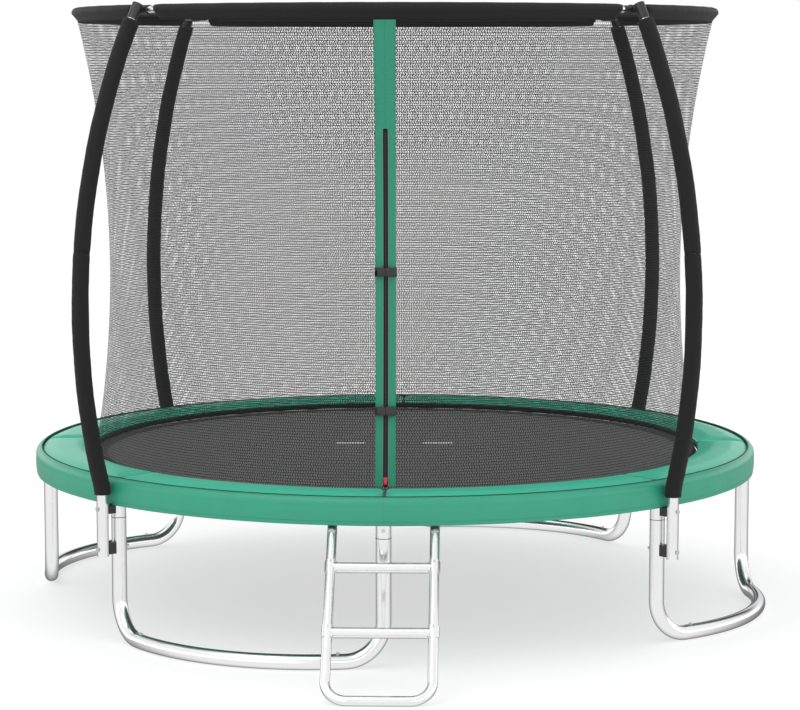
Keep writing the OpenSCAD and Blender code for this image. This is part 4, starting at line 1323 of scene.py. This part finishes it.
class TrampolineColours(bpy.types.PropertyGroup):
    steel: colour("Steel", "Galvanised tubes", (0.88, 0.88, 0.885))
    zinc: colour("Zinc", "Springs, screws and bolts", (0.62, 0.63, 0.65))
    mat: colour("Mat", "Jumping cloth", (0.044, 0.044, 0.043))
    webbing: colour("Webbing", "Black webbing and bindings", (0.010, 0.010, 0.010))
    # The top's colour is painted lighter and the skirt's darker than the one vinyl: painted light on the top,
    # painted shade on the skirt.
    pad: colour("Pad", "Top of the spring pad", (0.042, 0.46, 0.30))
    skirt: colour("Skirt", "Skirt of the spring pad", (0.024, 0.30, 0.185))
    foam: colour("Foam", "Cover of the foam sleeves", (0.008, 0.008, 0.008))
    sleeve: colour("Sleeve", "Padded sleeve on the hoop", (0.008, 0.008, 0.008))
    net: colour("Net", "Knitted net", (0.016, 0.016, 0.016))
    strip: colour("Strip", "Door webbing", (0.030, 0.31, 0.19))
    strip_thread: colour("Strip thread", "Stitches of the door webbing", (0.02, 0.20, 0.12))
    edge: colour("Zip edge", "Light cord beside the zip", (0.30, 0.34, 0.32))
    plastic: colour("Plastic", "Black mouldings", (0.014, 0.014, 0.014))
    slider: colour("Slider", "Zip slider", (0.62, 0.02, 0.03))
    printed: colour("Print", "Dashes on the mat", (0.72, 0.72, 0.72))
    # Drawn dark as painted shade in the pad's seams and along its outer edge.
    shade_welt: colour("Welt", "Dark cord painting the shade in the pad's seams and along its edge", (0.004, 0.045, 0.03))


class TRAMPOLINE_OT_stage(bpy.types.Operator):
    """Sets the camera, the floor, the surround, the lights and all finishes"""
    bl_idname = "trampoline.stage"
    bl_label = "Stage"

    def execute(self, context):
        make_camera()
        for key, material in make_materials().items():
            MATERIAL_NAMES[key] = material.name
        make_floor()
        make_world()
        make_lights()
        return {"FINISHED"}


class TRAMPOLINE_OT_metal(bpy.types.Operator):
    """Gives the metal and plastic sub-parts their finish"""
    bl_idname = "trampoline.metal"
    bl_label = "Metal and plastic"

    def execute(self, context):
        finish_metal()
        make_joint_lines()
        return {"FINISHED"}


class TRAMPOLINE_OT_mat(bpy.types.Operator):
    """Makes the jumping mat, its webbing, dashes and wire rings"""
    bl_idname = "trampoline.mat"
    bl_label = "Jumping mat"

    def execute(self, context):
        make_mat()
        make_rings()
        return {"FINISHED"}


class TRAMPOLINE_OT_springs(bpy.types.Operator):
    """Makes the coil springs"""
    bl_idname = "trampoline.springs"
    bl_label = "Springs"

    def execute(self, context):
        make_springs()
        return {"FINISHED"}


class TRAMPOLINE_OT_pad(bpy.types.Operator):
    """Makes the padded panels over the springs and their skirt"""
    bl_idname = "trampoline.pad"
    bl_label = "Spring pad"

    def execute(self, context):
        make_pad()
        make_skirt()
        return {"FINISHED"}


class TRAMPOLINE_OT_foam(bpy.types.Operator):
    """Makes the foam sleeves on the poles"""
    bl_idname = "trampoline.foam"
    bl_label = "Pole foam"

    def execute(self, context):
        make_foam()
        return {"FINISHED"}


class TRAMPOLINE_OT_hoop(bpy.types.Operator):
    """Makes the padded sleeves on the top hoop"""
    bl_idname = "trampoline.hoop"
    bl_label = "Hoop sleeves"

    def execute(self, context):
        make_hoop_sleeves()
        return {"FINISHED"}


class TRAMPOLINE_OT_net(bpy.types.Operator):
    """Makes the net and the binding at its foot"""
    bl_idname = "trampoline.net"
    bl_label = "Net"

    def execute(self, context):
        make_net()
        return {"FINISHED"}


class TRAMPOLINE_OT_door(bpy.types.Operator):
    """Makes the door's strips, zip, slider and buckles"""
    bl_idname = "trampoline.door"
    bl_label = "Door"

    def execute(self, context):
        make_door()
        make_slider()
        make_buckles()
        return {"FINISHED"}


class TRAMPOLINE_PT_panel(bpy.types.Panel):
    """Lists the steps that build the trampoline"""
    bl_label = "Trampoline"
    bl_idname = "TRAMPOLINE_PT_panel"
    bl_space_type = "VIEW_3D"
    bl_region_type = "UI"
    bl_category = "Trampoline"

    def draw(self, context):
        for operator in OPERATORS:
            self.layout.operator(operator.bl_idname)
        for group in (context.scene.trampoline_sizes, context.scene.trampoline_colours):
            for name in group.__annotations__:
                self.layout.prop(group, name)


OPERATORS = (TRAMPOLINE_OT_stage, TRAMPOLINE_OT_metal, TRAMPOLINE_OT_mat, TRAMPOLINE_OT_springs,
             TRAMPOLINE_OT_pad, TRAMPOLINE_OT_foam, TRAMPOLINE_OT_hoop, TRAMPOLINE_OT_net,
             TRAMPOLINE_OT_door)
CLASSES = (TrampolineSizes, TrampolineColours) + OPERATORS + (TRAMPOLINE_PT_panel,)


def register():
    for cls in CLASSES:
        bpy.utils.register_class(cls)
    bpy.types.Scene.trampoline_sizes = PointerProperty(type=TrampolineSizes)
    bpy.types.Scene.trampoline_colours = PointerProperty(type=TrampolineColours)


def unregister():
    del bpy.types.Scene.trampoline_colours
    del bpy.types.Scene.trampoline_sizes
    for cls in reversed(CLASSES):
        bpy.utils.unregister_class(cls)


def main():
    register()
    bpy.ops.trampoline.stage()
    bpy.ops.trampoline.metal()
    bpy.ops.trampoline.mat()
    bpy.ops.trampoline.springs()
    bpy.ops.trampoline.pad()
    bpy.ops.trampoline.foam()
    bpy.ops.trampoline.hoop()
    bpy.ops.trampoline.net()
    bpy.ops.trampoline.door()


if __name__ == "__main__":
    main()
